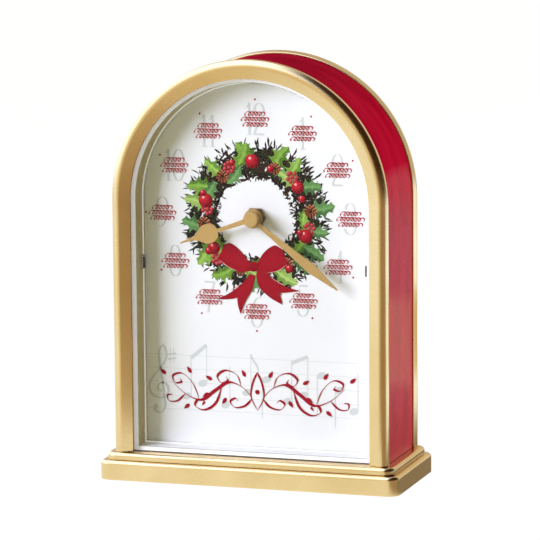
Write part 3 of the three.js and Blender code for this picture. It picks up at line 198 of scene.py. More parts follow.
def make_slow_change():
    tree, given, result = group("slow change", {"Scale": 25.0, "Low": 0.0, "High": 1.0}, {"Value": "Float"})
    cloud = noise(tree, object_place(tree), given["Scale"], 2.0)
    fill(tree, result, {"Value": ramp(tree, cloud, 0.3, 0.7, given["Low"], given["High"])})
    return tree


def make_edge_mask():
    tree, given, result = group("edge mask", {"Radius": 0.0006, "Gain": 3.0}, {"Mask": "Float"})
    soft = add(tree, "Bevel", {"Radius": given["Radius"]}, samples=4).outputs[0]
    plain = add(tree, "NewGeometry").outputs["Normal"]
    likeness = add(tree, "VectorMath", {0: soft, 1: plain}, operation="DOT_PRODUCT").outputs["Value"]
    change = math_node(tree, "SUBTRACT", 1.0, likeness)
    grown = add(tree, "Math", {0: change, 1: given["Gain"]}, operation="MULTIPLY", use_clamp=True)
    fill(tree, result, {"Mask": grown.outputs[0]})
    return tree


def make_dust():
    tree, given, result = group("dust", {"Amount": 0.1}, {"Mask": "Float"})
    level = ramp(tree, facing(tree)["Z"], 0.6, 1.0)
    cover = times(tree, level, noise(tree, object_place(tree), 420.0, 4.0))
    fill(tree, result, {"Mask": times(tree, cover, given["Amount"])})
    return tree


GRAIN = make_grain()
SLOW_CHANGE = make_slow_change()
EDGE_MASK = make_edge_mask()
DUST = make_dust()
print("shared effects:", [tree.name for tree in (GRAIN, SLOW_CHANGE, EDGE_MASK, DUST)])

# %% [markdown]
# ## Finishes
#
# Gilt, steel, plastic, felt and board differ in their numbers more than in their make-up, so one function
# serves them all. `finish` makes a material in which two related tones drift into each other under a fine
# grain, rims may be paler, as wear and as a painted highlight, and dust lies on top. The lacquer, the
# glass, the white plastic and the ink then add what is their own.

# %% General finish
DRIFT = 25.0
RIM_RADIUS = 0.0005
RELIEF_DEPTH = 0.0002
DUST_TONE = shade(190, 186, 178)


def effect(tree, shared, **values):
    """The outputs of a shared effect that is placed in a material with its own values."""
    return add(tree, "Group", values, node_tree=shared).outputs


def shader_of(name):
    material = bpy.data.materials.new(name)
    material.use_nodes = True
    return material, material.node_tree, material.node_tree.nodes["Principled BSDF"]


def finish(name, tone, other, rough, metal=0.0, grain=(900.0, 0.06), bump=0.02, rim_wear_and_highlight=None, dust=0.06):
    """A material of two drifting tones with grain, rims paled as wear and as painted highlight, and dust."""
    material, tree, surface = shader_of(name)
    sandy = effect(tree, GRAIN, Scale=grain[0], Depth=grain[1])
    colour = blend_colours(tree, effect(tree, SLOW_CHANGE, Scale=DRIFT)["Value"], tone, other)
    colour = blend_colours(tree, 1.0, colour, sandy["Tone"], "MULTIPLY")
    # Rims get paler, partly as wear and partly as a painted highlight.
    if rim_wear_and_highlight:
        colour = blend_colours(tree, effect(tree, EDGE_MASK, Radius=RIM_RADIUS)["Mask"], colour, rim_wear_and_highlight)
    colour = blend_colours(tree, effect(tree, DUST, Amount=dust)["Mask"], colour, DUST_TONE)
    sheen = effect(tree, SLOW_CHANGE, Scale=DRIFT * 2, Low=rough[0], High=rough[1])["Value"]
    relief = add(tree, "Bump", {"Strength": bump, "Distance": RELIEF_DEPTH, "Height": sandy["Height"]})
    fill(tree, surface, {
        "Base Color": colour, "Metallic": metal, "Roughness": sheen, "Normal": relief.outputs[0]})
    return material


finishes = {
    "gilt": finish("satin gilt", shade(236, 206, 143), shade(226, 194, 128), (0.20, 0.27), 1.0,
                   grain=(1500.0, 0.12), bump=0.10, rim_wear_and_highlight=shade(250, 232, 186)),
    # Darker gilt for the window lip: painted shade.
    "lip_shade_gilt": finish("gilt with painted shade", shade(200, 150, 90), shade(186, 138, 80), (0.4, 0.5), 1.0),
    "hand_gilt": finish("matt gilt", shade(188, 154, 90), shade(180, 145, 83), (0.46, 0.54), 0.35,
                        grain=(1800.0, 0.12), bump=0.1),
    # Brass is darkened with painted shade, so that the nut under the hands reads as gilt in shadow.
    "brass": finish("brass darkened with painted shade", shade(140, 108, 60), shade(112, 84, 46), (0.4, 0.5), 1.0),
    "steel": finish("plated steel", shade(196, 196, 192), shade(172, 172, 170), (0.28, 0.4), 1.0),
    # Dark steel for the clips: painted shade for the shadow in their slots.
    "clip_shade_steel": finish("steel with painted shade", shade(52, 46, 40), shade(40, 35, 30), (0.5, 0.6), 0.4),
    "black_plastic": finish("black plastic", shade(30, 30, 31), shade(22, 22, 23), (0.45, 0.6),
                            grain=(2600.0, 0.2), bump=0.12, rim_wear_and_highlight=shade(62, 62, 64), dust=0.12),
    "nylon": finish("white nylon", shade(228, 226, 214), shade(218, 215, 200), (0.4, 0.5)),
    "fibreboard": finish("fibreboard", shade(142, 104, 68), shade(118, 84, 54), (0.75, 0.9),
                         grain=(500.0, 0.3), bump=0.2),
    "felt": finish("green felt", shade(38, 54, 40), shade(28, 42, 31), (0.9, 1.0),
                   grain=(1800.0, 0.5), bump=0.5),
    "rubber": finish("rubber", shade(32, 32, 32), shade(24, 24, 24), (0.7, 0.85)),
    "circuit": finish("circuit board", shade(24, 92, 52), shade(18, 76, 42), (0.35, 0.45)),
    "cell_wrap": finish("cell wrap", shade(52, 84, 128), shade(42, 68, 110), (0.25, 0.35)),
    "cone_paper": finish("cone paper", shade(56, 54, 50), shade(42, 40, 38), (0.8, 0.95),
                         grain=(900.0, 0.3), bump=0.2),
    "dial_white": finish("dial paper", shade(250, 250, 251), shade(246, 246, 248), (0.5, 0.6),
                         grain=(2400.0, 0.02), bump=0.01, dust=0.0),
}
print("finishes:", len(finishes))

# %% [markdown]
# ## Lacquer
#
# The case wears red lacquer over wood, with faint streaks that run round the arch. A texture in object
# space would cut straight across the arch, so the band's mesh carries two lengths, along the arch and
# across it, and the streaks follow those. The polish is dull over the arch and grows towards the legs.
# These lengths are in metres.

# %% Lacquer
DULL_MIDDLE = 0.1184
DULL_UNTIL = 0.098
POLISHED_FROM = 0.138
POLISH = 0.27
STREAK_SCALE = (22.0, 95.0, 1.0)


def make_lacquer():
    material, tree, surface = shader_of("red lacquer")
    run = add(tree, "Attribute", attribute_name="run").outputs["Vector"]
    stretched = add(tree, "Mapping", {"Vector": run, "Scale": STREAK_SCALE}).outputs[0]
    streaks = ramp(tree, noise(tree, stretched, 1.0, 3.0), 0.35, 0.7)
    colour = blend_colours(tree, streaks, shade(163, 10, 41), shade(188, 21, 54))
    colour = blend_colours(tree, effect(tree, DUST, Amount=0.03)["Mask"], colour, shade(200, 120, 120))
    sheen = effect(tree, SLOW_CHANGE, Scale=40.0, Low=0.24, High=0.32)["Value"]
    from_top = math_node(tree, "ABSOLUTE", math_node(tree, "SUBTRACT", axes_of(tree, run)["X"], DULL_MIDDLE))
    polish = ramp(tree, from_top, DULL_UNTIL, POLISHED_FROM, last=POLISH, kind="SMOOTHSTEP")
    fill(tree, surface, {"Base Color": colour, "Roughness": sheen, "Specular IOR Level": polish})
    return material


finishes["red_lacquer"] = make_lacquer()
print("finishes with lacquer:", len(finishes))

# %% [markdown]
# ## Glass, white plastic and ink
#
# Plain glass would darken the dial, because light has to find its way through it, so shadow rays and
# scattered light pass straight through. The surround is thin white plastic with painted light on its
# front: an emission brightens the faces that look forward. Its left wall carries a painted olive shade,
# and a painted grey shade line runs where its mouth turns inwards. Ink takes its colour from the mesh,
# over a paper grain.

# %% Glass, white plastic and ink
WHITE = (1.0, 1.0, 1.0, 1.0)
GLASS_TINT = (0.985, 0.995, 0.99, 1.0)
GLASS_BEND = 1.2
PAINTED_FRONT_LIGHT = 0.30
INK_GLOSS = 0.04


def mix_shaders(tree, factor, first, second):
    return add(tree, "MixShader", {0: factor, 1: first.outputs[0], 2: second.outputs[0]})


def show(tree, shader):
    """Makes a shader the one that the surface shows."""
    fill(tree, tree.nodes["Material Output"], {0: shader.outputs[0]})


def make_glass():
    material, tree, surface = shader_of("window glass")
    sheen = effect(tree, SLOW_CHANGE, Scale=30.0, Low=0.0, High=0.012)["Value"]
    colour = blend_colours(tree, effect(tree, SLOW_CHANGE, Scale=12.0)["Value"], WHITE, GLASS_TINT)
    fill(tree, surface, {
        "Base Color": colour, "Roughness": sheen, "Transmission Weight": 1.0, "IOR": GLASS_BEND})
    path = add(tree, "LightPath").outputs
    passing = math_node(tree, "MAXIMUM", path["Is Shadow Ray"], path["Is Diffuse Ray"])
    show(tree, mix_shaders(tree, passing, surface, add(tree, "BsdfTransparent")))
    return material


def make_surround_white():
    material = finish("white plastic", shade(238, 238, 238), shade(232, 232, 233), (0.42, 0.52))
    tree = material.node_tree
    surface = tree.nodes["Principled BSDF"]
    axes = facing(tree)
    colour = surface.inputs["Base Color"].links[0].from_socket
    # Painted olive shade on the left wall of the opening, the wall whose face looks right.
    colour = blend_colours(tree, ramp(tree, axes["X"], 0.1, 0.7), colour, shade(186, 168, 112))
    # Painted grey shade line where the mouth turns into the tunnel.
    painted_edge_shade = times(tree, ramp(tree, axes["Y"], -0.99, -0.94), ramp(tree, axes["Y"], -0.12, -0.3))
    colour = blend_colours(tree, painted_edge_shade, colour, shade(170, 168, 152))
    # Painted light: an emission that brightens the surround's faces that look forward.
    painted_front_light = times(tree, ramp(tree, axes["Y"], -0.5, -0.9), PAINTED_FRONT_LIGHT)
    fill(tree, surface, {
        "Base Color": colour, "Emission Color": (0.97, 0.96, 1.0, 1.0), "Emission Strength": painted_front_light})
    return material


def make_ink():
    material, tree, surface = shader_of("dial ink")
    colour = add(tree, "Attribute", attribute_name="ink").outputs["Color"]
    sandy = effect(tree, GRAIN, Scale=2400.0, Depth=0.05)
    sheen = effect(tree, SLOW_CHANGE, Scale=60.0, Low=0.5, High=0.6)["Value"]
    fill(tree, surface, {
        "Base Color": blend_colours(tree, 1.0, colour, sandy["Tone"], "MULTIPLY"),
        "Roughness": sheen, "Specular IOR Level": INK_GLOSS})
    return material


finishes["window_glass"] = make_glass()
finishes["white_plastic"] = make_surround_white()
ink_finish = make_ink()
print("finishes with glass and white plastic:", len(finishes))

# %% [markdown]
# ## Mesh helpers
#
# The pieces could be modelled by hand with bevels. Lists of points are used here, because they follow the
# solids' own measures exactly. `piece` turns points in millimetres into a smooth mesh that rides on a
# body of the clock and stands for its solids; a weighted normal modifier keeps its flat faces even.
# `rounded` gives a section its rounded corners, `stitch` joins rows of points with quads, and `capped`
# also fills both ends.

# %% Mesh helpers
CREASE = 32


def span(node):
    """Lowest and highest corner of a solid, in millimetres."""
    low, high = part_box(node)
    return low / MM, high / MM


def piece(name, points, faces, slot, body="case", stands_for=(), material=None):
    mesh = bpy.data.meshes.new(name)
    mesh.from_pydata([Vector(point) * MM for point in points], [], faces)
    shell = bmesh.new()
    shell.from_mesh(mesh)
    bmesh.ops.recalc_face_normals(shell, faces=shell.faces)
    shell.to_mesh(mesh)
    shell.free()
    mesh.shade_smooth()
    mesh.set_sharp_from_angle(angle=math.radians(CREASE))
    mesh.materials.append(material or finishes[slot])
    made = new_object(name, mesh)
    even = made.modifiers.new("even", "WEIGHTED_NORMAL")
    even.keep_sharp = True
    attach(made, body)
    if stands_for:
        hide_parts(*stands_for)
    return made


def rounded(corners, steps=7):
    """An outline in which each corner (a, b, radius) has become an arc."""
    outline = []
    for index, (a, b, radius) in enumerate(corners):
        here = Vector((a, b))
        if not radius:
            outline.append(here)
            continue
        back = (Vector(corners[index - 1][:2]) - here).normalized()
        ahead = (Vector(corners[(index + 1) % len(corners)][:2]) - here).normalized()
        half = back.angle(ahead) / 2
        centre = here + (back + ahead).normalized() * radius / math.sin(half)
        first = here + back * radius / math.tan(half) - centre
        last = here + ahead * radius / math.tan(half) - centre
        begin = math.atan2(first.y, first.x)
        sweep = (math.atan2(last.y, last.x) - begin + math.pi) % math.tau - math.pi
        for step in range(steps + 1):
            angle = begin + sweep * step / steps
            outline.append(centre + radius * Vector((math.cos(angle), math.sin(angle))))
    return outline


def stitch(rows, loop_rows=False):
    """Quads between rows of equal length that close on themselves; the rows can close too."""
    count = len(rows[0])
    faces = []
    for row in range(len(rows) if loop_rows else len(rows) - 1):
        here = row * count
        there = (row + 1) % len(rows) * count
        for point in range(count):
            beside = (point + 1) % count
            faces.append((here + point, here + beside, there + beside, there + point))
    return [tuple(p) for row in rows for p in row], faces


def capped(rows):
    """Stitched rows with the first and the last row filled in."""
    points, faces = stitch(rows)
    count = len(rows[0])
    faces.append(tuple(range(count)))
    faces.append(tuple(range(len(points) - count, len(points))))
    return points, faces


print("mesh helpers ready")

# %% [markdown]
# ## The arch
#
# Bezel, band, ring, glass, surround and dial share one form: two straight legs and a half circle. A curve
# with a bevel could carry a section along it, but a sweep of points keeps the feet flat on the base.
# `arch_sweep` carries a section up one leg, round the arch and down the other leg. `arch_ring` is one
# flat outline of that form.

# %% Arch
ARCH_STEPS = 120
LEG_STEPS = 8
ARCH_TURNS = [math.pi * (1 - step / ARCH_STEPS) for step in range(ARCH_STEPS + 1)]

bezel_low, bezel_high = span("front_bezel")
floor_z = bezel_low.z
spring_z = bezel_high.z - bezel_high.x


def arch_stations():
    """Foot height and outward direction at each stop, from the left foot to the right foot."""
    legs = [floor_z + (spring_z - floor_z) * step / LEG_STEPS for step in range(LEG_STEPS)]
    return ([(z, -1.0, 0.0) for z in legs]
            + [(spring_z, math.cos(angle), math.sin(angle)) for angle in ARCH_TURNS]
            + [(z, 1.0, 0.0) for z in reversed(legs)])


def arch_sweep(section):
    """Rows of points where a section (distance from the middle, depth) goes round the arch."""
    return [[(r * out, y, z + r * up) for r, y in section] for z, out, up in arch_stations()]


def arch_ring(half, bottom, y):
    """One flat arched outline of a given half width, closed along the bottom."""
    round_part = [(half * math.cos(angle), y, spring_z + half * math.sin(angle)) for angle in ARCH_TURNS]
    return [(-half, y, bottom), *round_part, (half, y, bottom)]


print("arch springs at", round(spring_z, 1), "mm")

# %% [markdown]
# ## The bezel
#
# The gilt frame in front slopes in to the window. It has a rounding on its outside and a rebate behind
# for the glass. The lip inside the window is a thin sleeve of darker gilt, which is painted shade: as part
# of the bezel it would mirror the white dial, which the real lip hardly does.

# %% Bezel
BEZEL_FACE = 6.5
BEZEL_ROUNDING = 3.8
FACE_SLOPE = math.radians(18)
GLASS_SETBACK = 1.0
GLASS_ROOM = 0.3
LIP_GAP = 0.2
LIP_START = 0.3
LIP_PROUD = 0.06

glass_low, glass_high = span("glass")
window_half = bezel_high.x - BEZEL_ROUNDING - BEZEL_FACE
rebate = glass_high.x + GLASS_ROOM
lip_back = glass_low.y - LIP_GAP + GLASS_SETBACK

corner_y = bezel_low.y - BEZEL_ROUNDING * ((1 + math.sin(FACE_SLOPE)) / math.cos(FACE_SLOPE) - 1)
edge_y = corner_y + (bezel_high.x - window_half) * math.tan(FACE_SLOPE)
bezel_section = rounded([
    (bezel_high.x, bezel_high.y, 0.3), (bezel_high.x, corner_y, BEZEL_ROUNDING), (window_half, edge_y, 0.15),
    (window_half, lip_back, 0), (rebate, lip_back, 0), (rebate, bezel_high.y, 0)])
piece("bezel", *capped(arch_sweep(bezel_section)), "gilt", stands_for=["front_bezel"])
lip_section = rounded([
    (window_half - LIP_PROUD, edge_y + LIP_START, 0), (window_half - LIP_PROUD, lip_back, 0),
    (window_half + LIP_PROUD, lip_back, 0), (window_half + LIP_PROUD, edge_y + LIP_START, 0)])
# The lip is painted shade in a darker gilt.
piece("window_lip", *capped(arch_sweep(lip_section)), "gilt", material=finishes["lip_shade_gilt"])
print("bezel section has", len(bezel_section), "points")

# %% [markdown]
# ## The rear ring and the band
#
# The gilt ring at the back has a front edge that leans and a ledge inside for the back panel. The band
# between ring and bezel is a plain wooden wall. Both are swept like the bezel. The band also gets the two
# lengths that its lacquer asks for, because only the mesh knows how far along the arch a point lies.

# %% Rear ring and band
RING_ROUNDING = 2.2
RING_DEPTH_IN = 12.6
RING_CROWN = 0.95
RING_CROWN_DEPTH = 3.4
PANEL_ROOM = 0.3
PANEL_GAP = 0.2
BAND_WALL = 6

ring_low, ring_high = span("rear_ring")
panel_low, panel_high = span("back_panel")
ledge_x = panel_high.x + PANEL_ROOM
ledge_y = panel_low.y - PANEL_GAP
ring_inside = ring_high.x - RING_DEPTH_IN
ring_section = rounded([
    (ring_high.x - RING_CROWN, ring_low.y, 0.4), (ring_high.x, ring_low.y + RING_CROWN_DEPTH, 2.0),
    (ring_high.x, ring_high.y, RING_ROUNDING), (ledge_x, ring_high.y, 0.3), (ledge_x, ledge_y, 0),
    (ring_inside, ledge_y, 0.2), (ring_inside, ring_low.y, 0.2)])
piece("ring", *capped(arch_sweep(ring_section)), "gilt", stands_for=["rear_ring"])

band_low, band_high = span("side_band")
band_inside = band_high.x - BAND_WALL
band_section = rounded([
    (band_high.x, band_low.y, 0.4), (band_high.x, band_high.y, 0.4),
    (band_inside, band_high.y, 0), (band_inside, band_low.y, 0)])
band = piece("band", *capped(arch_sweep(band_section)), "red_lacquer", stands_for=["side_band"])
run = band.data.attributes.new("run", "FLOAT_VECTOR", "POINT")
for vertex in band.data.vertices:
    rise = vertex.co.z / MM - spring_z
    angle = math.atan2(max(rise, 0.0), vertex.co.x / MM)
    along = angle * band_high.x + min(rise, 0.0) * math.copysign(1.0, vertex.co.x)
    run.data[vertex.index].vector = (along * MM, vertex.co.y, 0.0)
print("ring and band have", len(ring_section), "and", len(band_section), "points in their sections")

# %% [markdown]
# ## The base and the window
#
# Both steps of the base have a crisp foot and a soft upper edge. A bevelled cube would round all edges
# alike, so they are lofts of rounded rectangles: each profile point says how far the outline is drawn in.
# The plinth is hollow below, where its plate sits. The glass is a flat arched sheet with eased edges.

# %% Base and window
CORNER_RADIUS = 6.2
LEAST_RADIUS = 0.4
CORNER_STEPS = 10
TOP_ROUNDING = 2.0
COVERED = 12.0
PLINTH_RIM = 4.0
PLATE_ROOM = 0.2
SHADOW_INSET = 0.2
SHADOW_LOW = 0.3
SHADOW_HIGH = 0.5
GLASS_EASE = 0.3


def rounded_rectangle(low, high, inset, z):
    """A level outline, drawn in by the inset, with round corners."""
    middle = (low + high) / 2
    half_x = (high.x - low.x) / 2 - inset
    half_y = (high.y - low.y) / 2 - inset
    radius = max(CORNER_RADIUS - inset, LEAST_RADIUS)
    corners = [(half_x, -half_y), (half_x, half_y), (-half_x, half_y), (-half_x, -half_y)]
    outline = rounded([(x, y, radius) for x, y in corners], CORNER_STEPS)
    return [(middle.x + x, middle.y + y, z) for x, y in outline]


def moulded_block(node, profile):
    low, high = span(node)
    return capped([rounded_rectangle(low, high, inset, z) for inset, z in rounded(profile)])


plinth_low, plinth_high = span("base_plinth")
plate_top = span("base_plate")[1].z
plinth_profile = [
    (PLINTH_RIM, plate_top + PLATE_ROOM, 0), (PLINTH_RIM, plinth_low.z, 0.1), (0.0, plinth_low.z, 0.15),
    (0.0, plinth_high.z, TOP_ROUNDING), (COVERED, plinth_high.z, 0)]
piece("plinth", *moulded_block("base_plinth", plinth_profile), "gilt", stands_for=["base_plinth"])

step_low, step_high = span("base_step")
step_profile = [
    (COVERED, step_low.z, 0), (SHADOW_INSET, step_low.z, 0), (SHADOW_INSET, step_low.z + SHADOW_LOW, 0.1),
    (0.0, step_low.z + SHADOW_HIGH, 0.15), (0.0, step_high.z, TOP_ROUNDING), (COVERED, step_high.z, 0)]
piece("step", *moulded_block("base_step", step_profile), "gilt", stands_for=["base_step"])

glass_front = glass_low.y + GLASS_SETBACK
glass_back = glass_high.y + GLASS_SETBACK
glass_levels = [(GLASS_EASE, glass_front), (0.0, glass_front + GLASS_EASE),
                (0.0, glass_back - GLASS_EASE), (GLASS_EASE, glass_back)]
glass_rings = [arch_ring(glass_high.x - inset, glass_low.z + inset, y) for inset, y in glass_levels]
piece("window", *capped(glass_rings), "window_glass", stands_for=["glass"])
print("base is", round(plinth_high.x - plinth_low.x), "mm wide")

# %% [markdown]
# ## The surround
#
# A white moulding frames the dial: a flange behind the glass, a rounded mouth, a tunnel that narrows a
# little and a ledge. It is one loft of arched outlines. Two notches in the ledge leave room for the
# clips, and a boolean cuts them, because a loft can't leave out a part of its wall.

# %% Surround
FLANGE_SHOW = 2.3
FLANGE = 1.6
MOUTH_ROUNDING = [(1.0, 0.0), (0.3, 0.2), (0.0, 0.7)]
TUNNEL_TAPER = 0.3
LEDGE = 0.9
LEDGE_DEPTH = 1.2
LEDGE_EASE = 0.2
WALL = 1.4
SILL_DROP = 0.1
NOTCH_ROOM = 0.4
NOTCH_INWARDS = 1.0
NOTCH_OUTWARDS = 0.2
NOTCH_FORWARDS = 0.5
NOTCH_BACKWARDS = 1.0
MOUTH_HALF = window_half - FLANGE_SHOW
THROAT_HALF = MOUTH_HALF - TUNNEL_TAPER
OPENING_HALF = THROAT_HALF - LEDGE

surround_low, surround_high = span("dial_surround")
clip_low, clip_high = span("dial_clip_right")
ledge_front = surround_high.y - LEDGE_DEPTH
flange_y = surround_low.y + GLASS_SETBACK
mouth_z = surround_low.z + FLANGE_SHOW
throat_z = mouth_z + TUNNEL_TAPER
opening_z = throat_z + LEDGE
sill_z = surround_low.z - SILL_DROP


def box(low, high):
    """Points and faces of a box between two corners."""
    points = [(x, y, z) for x in (low[0], high[0]) for y in (low[1], high[1]) for z in (low[2], high[2])]
    return points, [(0, 1, 3, 2), (4, 6, 7, 5), (0, 4, 5, 1), (2, 3, 7, 6), (0, 2, 6, 4), (1, 5, 7, 3)]


def cut_away(target, low, high):
    """Takes a box, given by two corners in millimetres, out of a piece."""
    points, faces = box(low, high)
    mesh = bpy.data.meshes.new("cutter")
    mesh.from_pydata([Vector(point) * MM for point in points], [], faces)
    cutter = new_object("cutter", mesh)
    cut = target.modifiers.new("notch", "BOOLEAN")
    cut.operation = "DIFFERENCE"
    cut.object = cutter
    bpy.context.view_layer.update()
    done = bpy.data.meshes.new_from_object(target.evaluated_get(bpy.context.evaluated_depsgraph_get()))
    target.modifiers.remove(cut)
    target.data = done
    bpy.data.objects.remove(cutter)


surround_rings = [
    (surround_high.x, sill_z, flange_y),
    *[(MOUTH_HALF + out, mouth_z - out, flange_y + back) for out, back in MOUTH_ROUNDING],
    (THROAT_HALF, throat_z, ledge_front),
    (OPENING_HALF + LEDGE_EASE, opening_z - LEDGE_EASE, ledge_front),
    (OPENING_HALF, opening_z, ledge_front + LEDGE_EASE),
    (OPENING_HALF, opening_z, surround_high.y),
    (THROAT_HALF + WALL, throat_z - WALL, surround_high.y),
    (MOUTH_HALF + WALL, mouth_z - WALL, flange_y + FLANGE),
    (surround_high.x, sill_z, flange_y + FLANGE)]
surround = piece("surround", *stitch([arch_ring(*ring) for ring in surround_rings], loop_rows=True),
                 "white_plastic", stands_for=["dial_surround"])
for side in (-1, 1):
    near_x, far_x = sorted((side * (OPENING_HALF - NOTCH_INWARDS), side * (THROAT_HALF + NOTCH_OUTWARDS)))
    cut_away(surround, (near_x, ledge_front - NOTCH_FORWARDS, clip_low.z - NOTCH_ROOM),
             (far_x, surround_high.y + NOTCH_BACKWARDS, clip_high.z + NOTCH_ROOM))
print("surround opens", round(OPENING_HALF * 2, 1), "mm wide")

# %% [markdown]
# ## The clips and the dial
#
# A small metal clip at each side shows as a short dark tick. So a clip has two parts, a steel block and a
# thin dark sheet in front of it, which is painted shade for the shadow in the clip's slot. The dial is a
# plate with a hole for the axis: the rim of the hole has one point for each point of the outline, so that
# plain quads can join them.

# %% Clips and dial
CLIP_DEPTH = 6.2
CLIP_BEND = 62.9
CLIP_TIP = 61.8
SHADE_SHEET_INSET = 0.6
SHADE_SHEET_DEPTH = 0.5
HUB_Z = sum(corner.z for corner in span("hand_nut")) / 2
HOLE_RADIUS = 4.2

dial_low, dial_high = span("dial")
clip_front = flange_y + CLIP_DEPTH
for side, word in ((-1, "left"), (1, "right")):
    near_x, far_x = sorted((side * CLIP_BEND, side * THROAT_HALF))
    block = box((near_x, clip_front, clip_low.z), (far_x, dial_low.y, clip_high.z))
    piece("clip_" + word, *block, "steel", stands_for=["dial_clip_" + word])
    # A thin dark sheet paints the shadow in the clip's slot.
    near_x, far_x = sorted((side * CLIP_TIP, side * CLIP_BEND))
    shade_sheet = box((near_x, clip_front, clip_low.z + SHADE_SHEET_INSET),
                 (far_x, clip_front + SHADE_SHEET_DEPTH, clip_high.z - SHADE_SHEET_INSET))
    piece("clip_shade_sheet_" + word, *shade_sheet, "steel", material=finishes["clip_shade_steel"])


def hole_ring(outline, y):
    """Points of the hole's rim that lie in the same directions as the outline's points."""
    directions = [Vector((x, z - HUB_Z)).normalized() for x, _, z in outline]
    return [(d.x * HOLE_RADIUS, y, HUB_Z + d.y * HOLE_RADIUS) for d in directions]


dial_back = arch_ring(dial_high.x, dial_low.z, dial_high.y)
dial_front = arch_ring(dial_high.x, dial_low.z, dial_low.y)
dial_rows = [dial_back, dial_front, hole_ring(dial_front, dial_low.y), hole_ring(dial_back, dial_high.y)]
piece("dial_plate", *stitch(dial_rows, loop_rows=True), "dial_white", stands_for=["dial"])
print("dial is", round(dial_high.x * 2, 1), "mm wide")

# %% [markdown]
# ## The hands
#
# Each hand is stamped from sheet metal, so it is a flat blade with eased edges. The bevel of a curve
# would spoil the fine tips. Here half an outline gives the width along the arm, and its mirror image
# closes it. The bosses behind the hands and the cap in front are turned profiles.

# %% Hands
MINUTE_ANGLE = 127.5
HOUR_ANGLE = 8 * 30 + MINUTE_ANGLE / 12
HUB_STEPS = 48
HEEL_STEPS = 24
BLADE = 0.7
BOSS_WALL = 1.2
PIN = 0.01


def turned(profile):
    """Rows of a round shape about the hands' axis, from (radius, depth) pairs."""
    turns = [math.tau * step / HUB_STEPS for step in range(HUB_STEPS)]
    return [[(r * math.cos(a), y, HUB_Z + r * math.sin(a)) for a in turns] for r, y in profile]


def bend(a, b, c, d, steps=20):
    """A cubic curve from a to d, drawn towards b and c."""
    a, b, c, d = map(Vector, (a, b, c, d))
    times_along = [step / steps for step in range(steps + 1)]
    return [a * (1 - t) ** 3 + b * 3 * t * (1 - t) ** 2 + c * 3 * t * t * (1 - t) + d * t ** 3
            for t in times_along]


def hand(name, arm, angle, heel_radius, bore, body, stands_for):
    """A flat hand that points along an angle, clockwise from twelve. The arm is half its outline."""
    low, high = span(stands_for)
    start = math.atan2(arm[0][1], arm[0][0])
    turns = [math.pi + (start - math.pi) * step / HEEL_STEPS for step in range(HEEL_STEPS)]
    heel = [Vector((heel_radius * math.cos(a), heel_radius * math.sin(a))) for a in turns]
    upper = heel + [Vector(p) for p in arm]
    outline = upper + [Vector((p.x, -p.y)) for p in reversed(upper[1:])]
    heading = Vector((math.sin(math.radians(angle)), math.cos(math.radians(angle))))
    aside = Vector((-heading.y, heading.x))

    def lay(p, y, ease):
        narrowed = Vector((p.x, p.y * (1 - ease / max(abs(p.y), 2 * ease)) if ease else p.y))
        spot = heading * narrowed.x + aside * narrowed.y
        return (spot.x, y, HUB_Z + spot.y)

    front, back = low.y, low.y + BLADE
    levels = ((back, 0.0), (front + 0.15, 0.0), (front + 0.04, 0.05), (front, 0.15))
    points, faces = capped([[lay(p, y, ease) for p in outline] for y, ease in levels])
    boss = turned([(bore, high.y), (bore + BOSS_WALL, high.y), (bore + BOSS_WALL, back)])
    boss_points, boss_faces = stitch(boss)
    faces += [tuple(index + len(points) for index in face) for face in boss_faces]
    piece(name, points + boss_points, faces, "hand_gilt", body, [stands_for])


spade = [(5.0, 1.45), *bend((21.4, 0.95), (21.4, 3.8), (24.05, 5.3), (26.7, 5.3)),
         *bend((26.7, 5.3), (31.55, 5.3), (31.55, 1.7), (36.4, 0.95))[1:], (43.8, 0.3)]
leaf_blade = [*bend((4.3, 1.15), (17.4, 1.38), (29.7, 1.95), (41.0, 2.85)), (59.6, 0.3)]
hand("hour_pointer", spade, HOUR_ANGLE, heel_radius=5.2, bore=2.6, body="hour_work", stands_for="hour_hand")
hand("minute_pointer", leaf_blade, MINUTE_ANGLE, heel_radius=4.5, bore=1.5, body="minute_work",
     stands_for="minute_hand")
cap_low, cap_high = span("hand_nut")
cap = rounded([
    (PIN, cap_high.y, 0), (cap_high.x, cap_high.y, 0.1), (cap_high.x, cap_low.y, 0.5), (PIN, cap_low.y, 0)])
piece("axis_cap", *stitch(turned(cap)), "hand_gilt", "minute_work", ["hand_nut"])
print("hands point to", HOUR_ANGLE, "and", MINUTE_ANGLE, "degrees")
print("from cap to glass:", round(cap_low.y - glass_back, 1), "mm")

# %% [markdown]
# ## Ink on the dial
#
# The dial's print could be a picture, but flat shapes stay sharp at any distance and need no file. They
# lie a hair in front of the dial. `Ink` gathers them: every new shape lies a little nearer to the viewer
# than the last, so later shapes cover earlier ones. `pen` draws like a flat nib, thick in one direction
# and thin in the other.

# %% Ink
LAYER = 0.002
DIAL_LIFT = 0.01
NIB_POWER = 1.5
TIP_SHARE = 0.15
BRIGHT_SPOT = Vector((-0.35, 0.4))
BRIGHT_REACH = 1.2


def mixed(first, second, share):
    return tuple(a + (b - a) * share for a, b in zip(first, second))


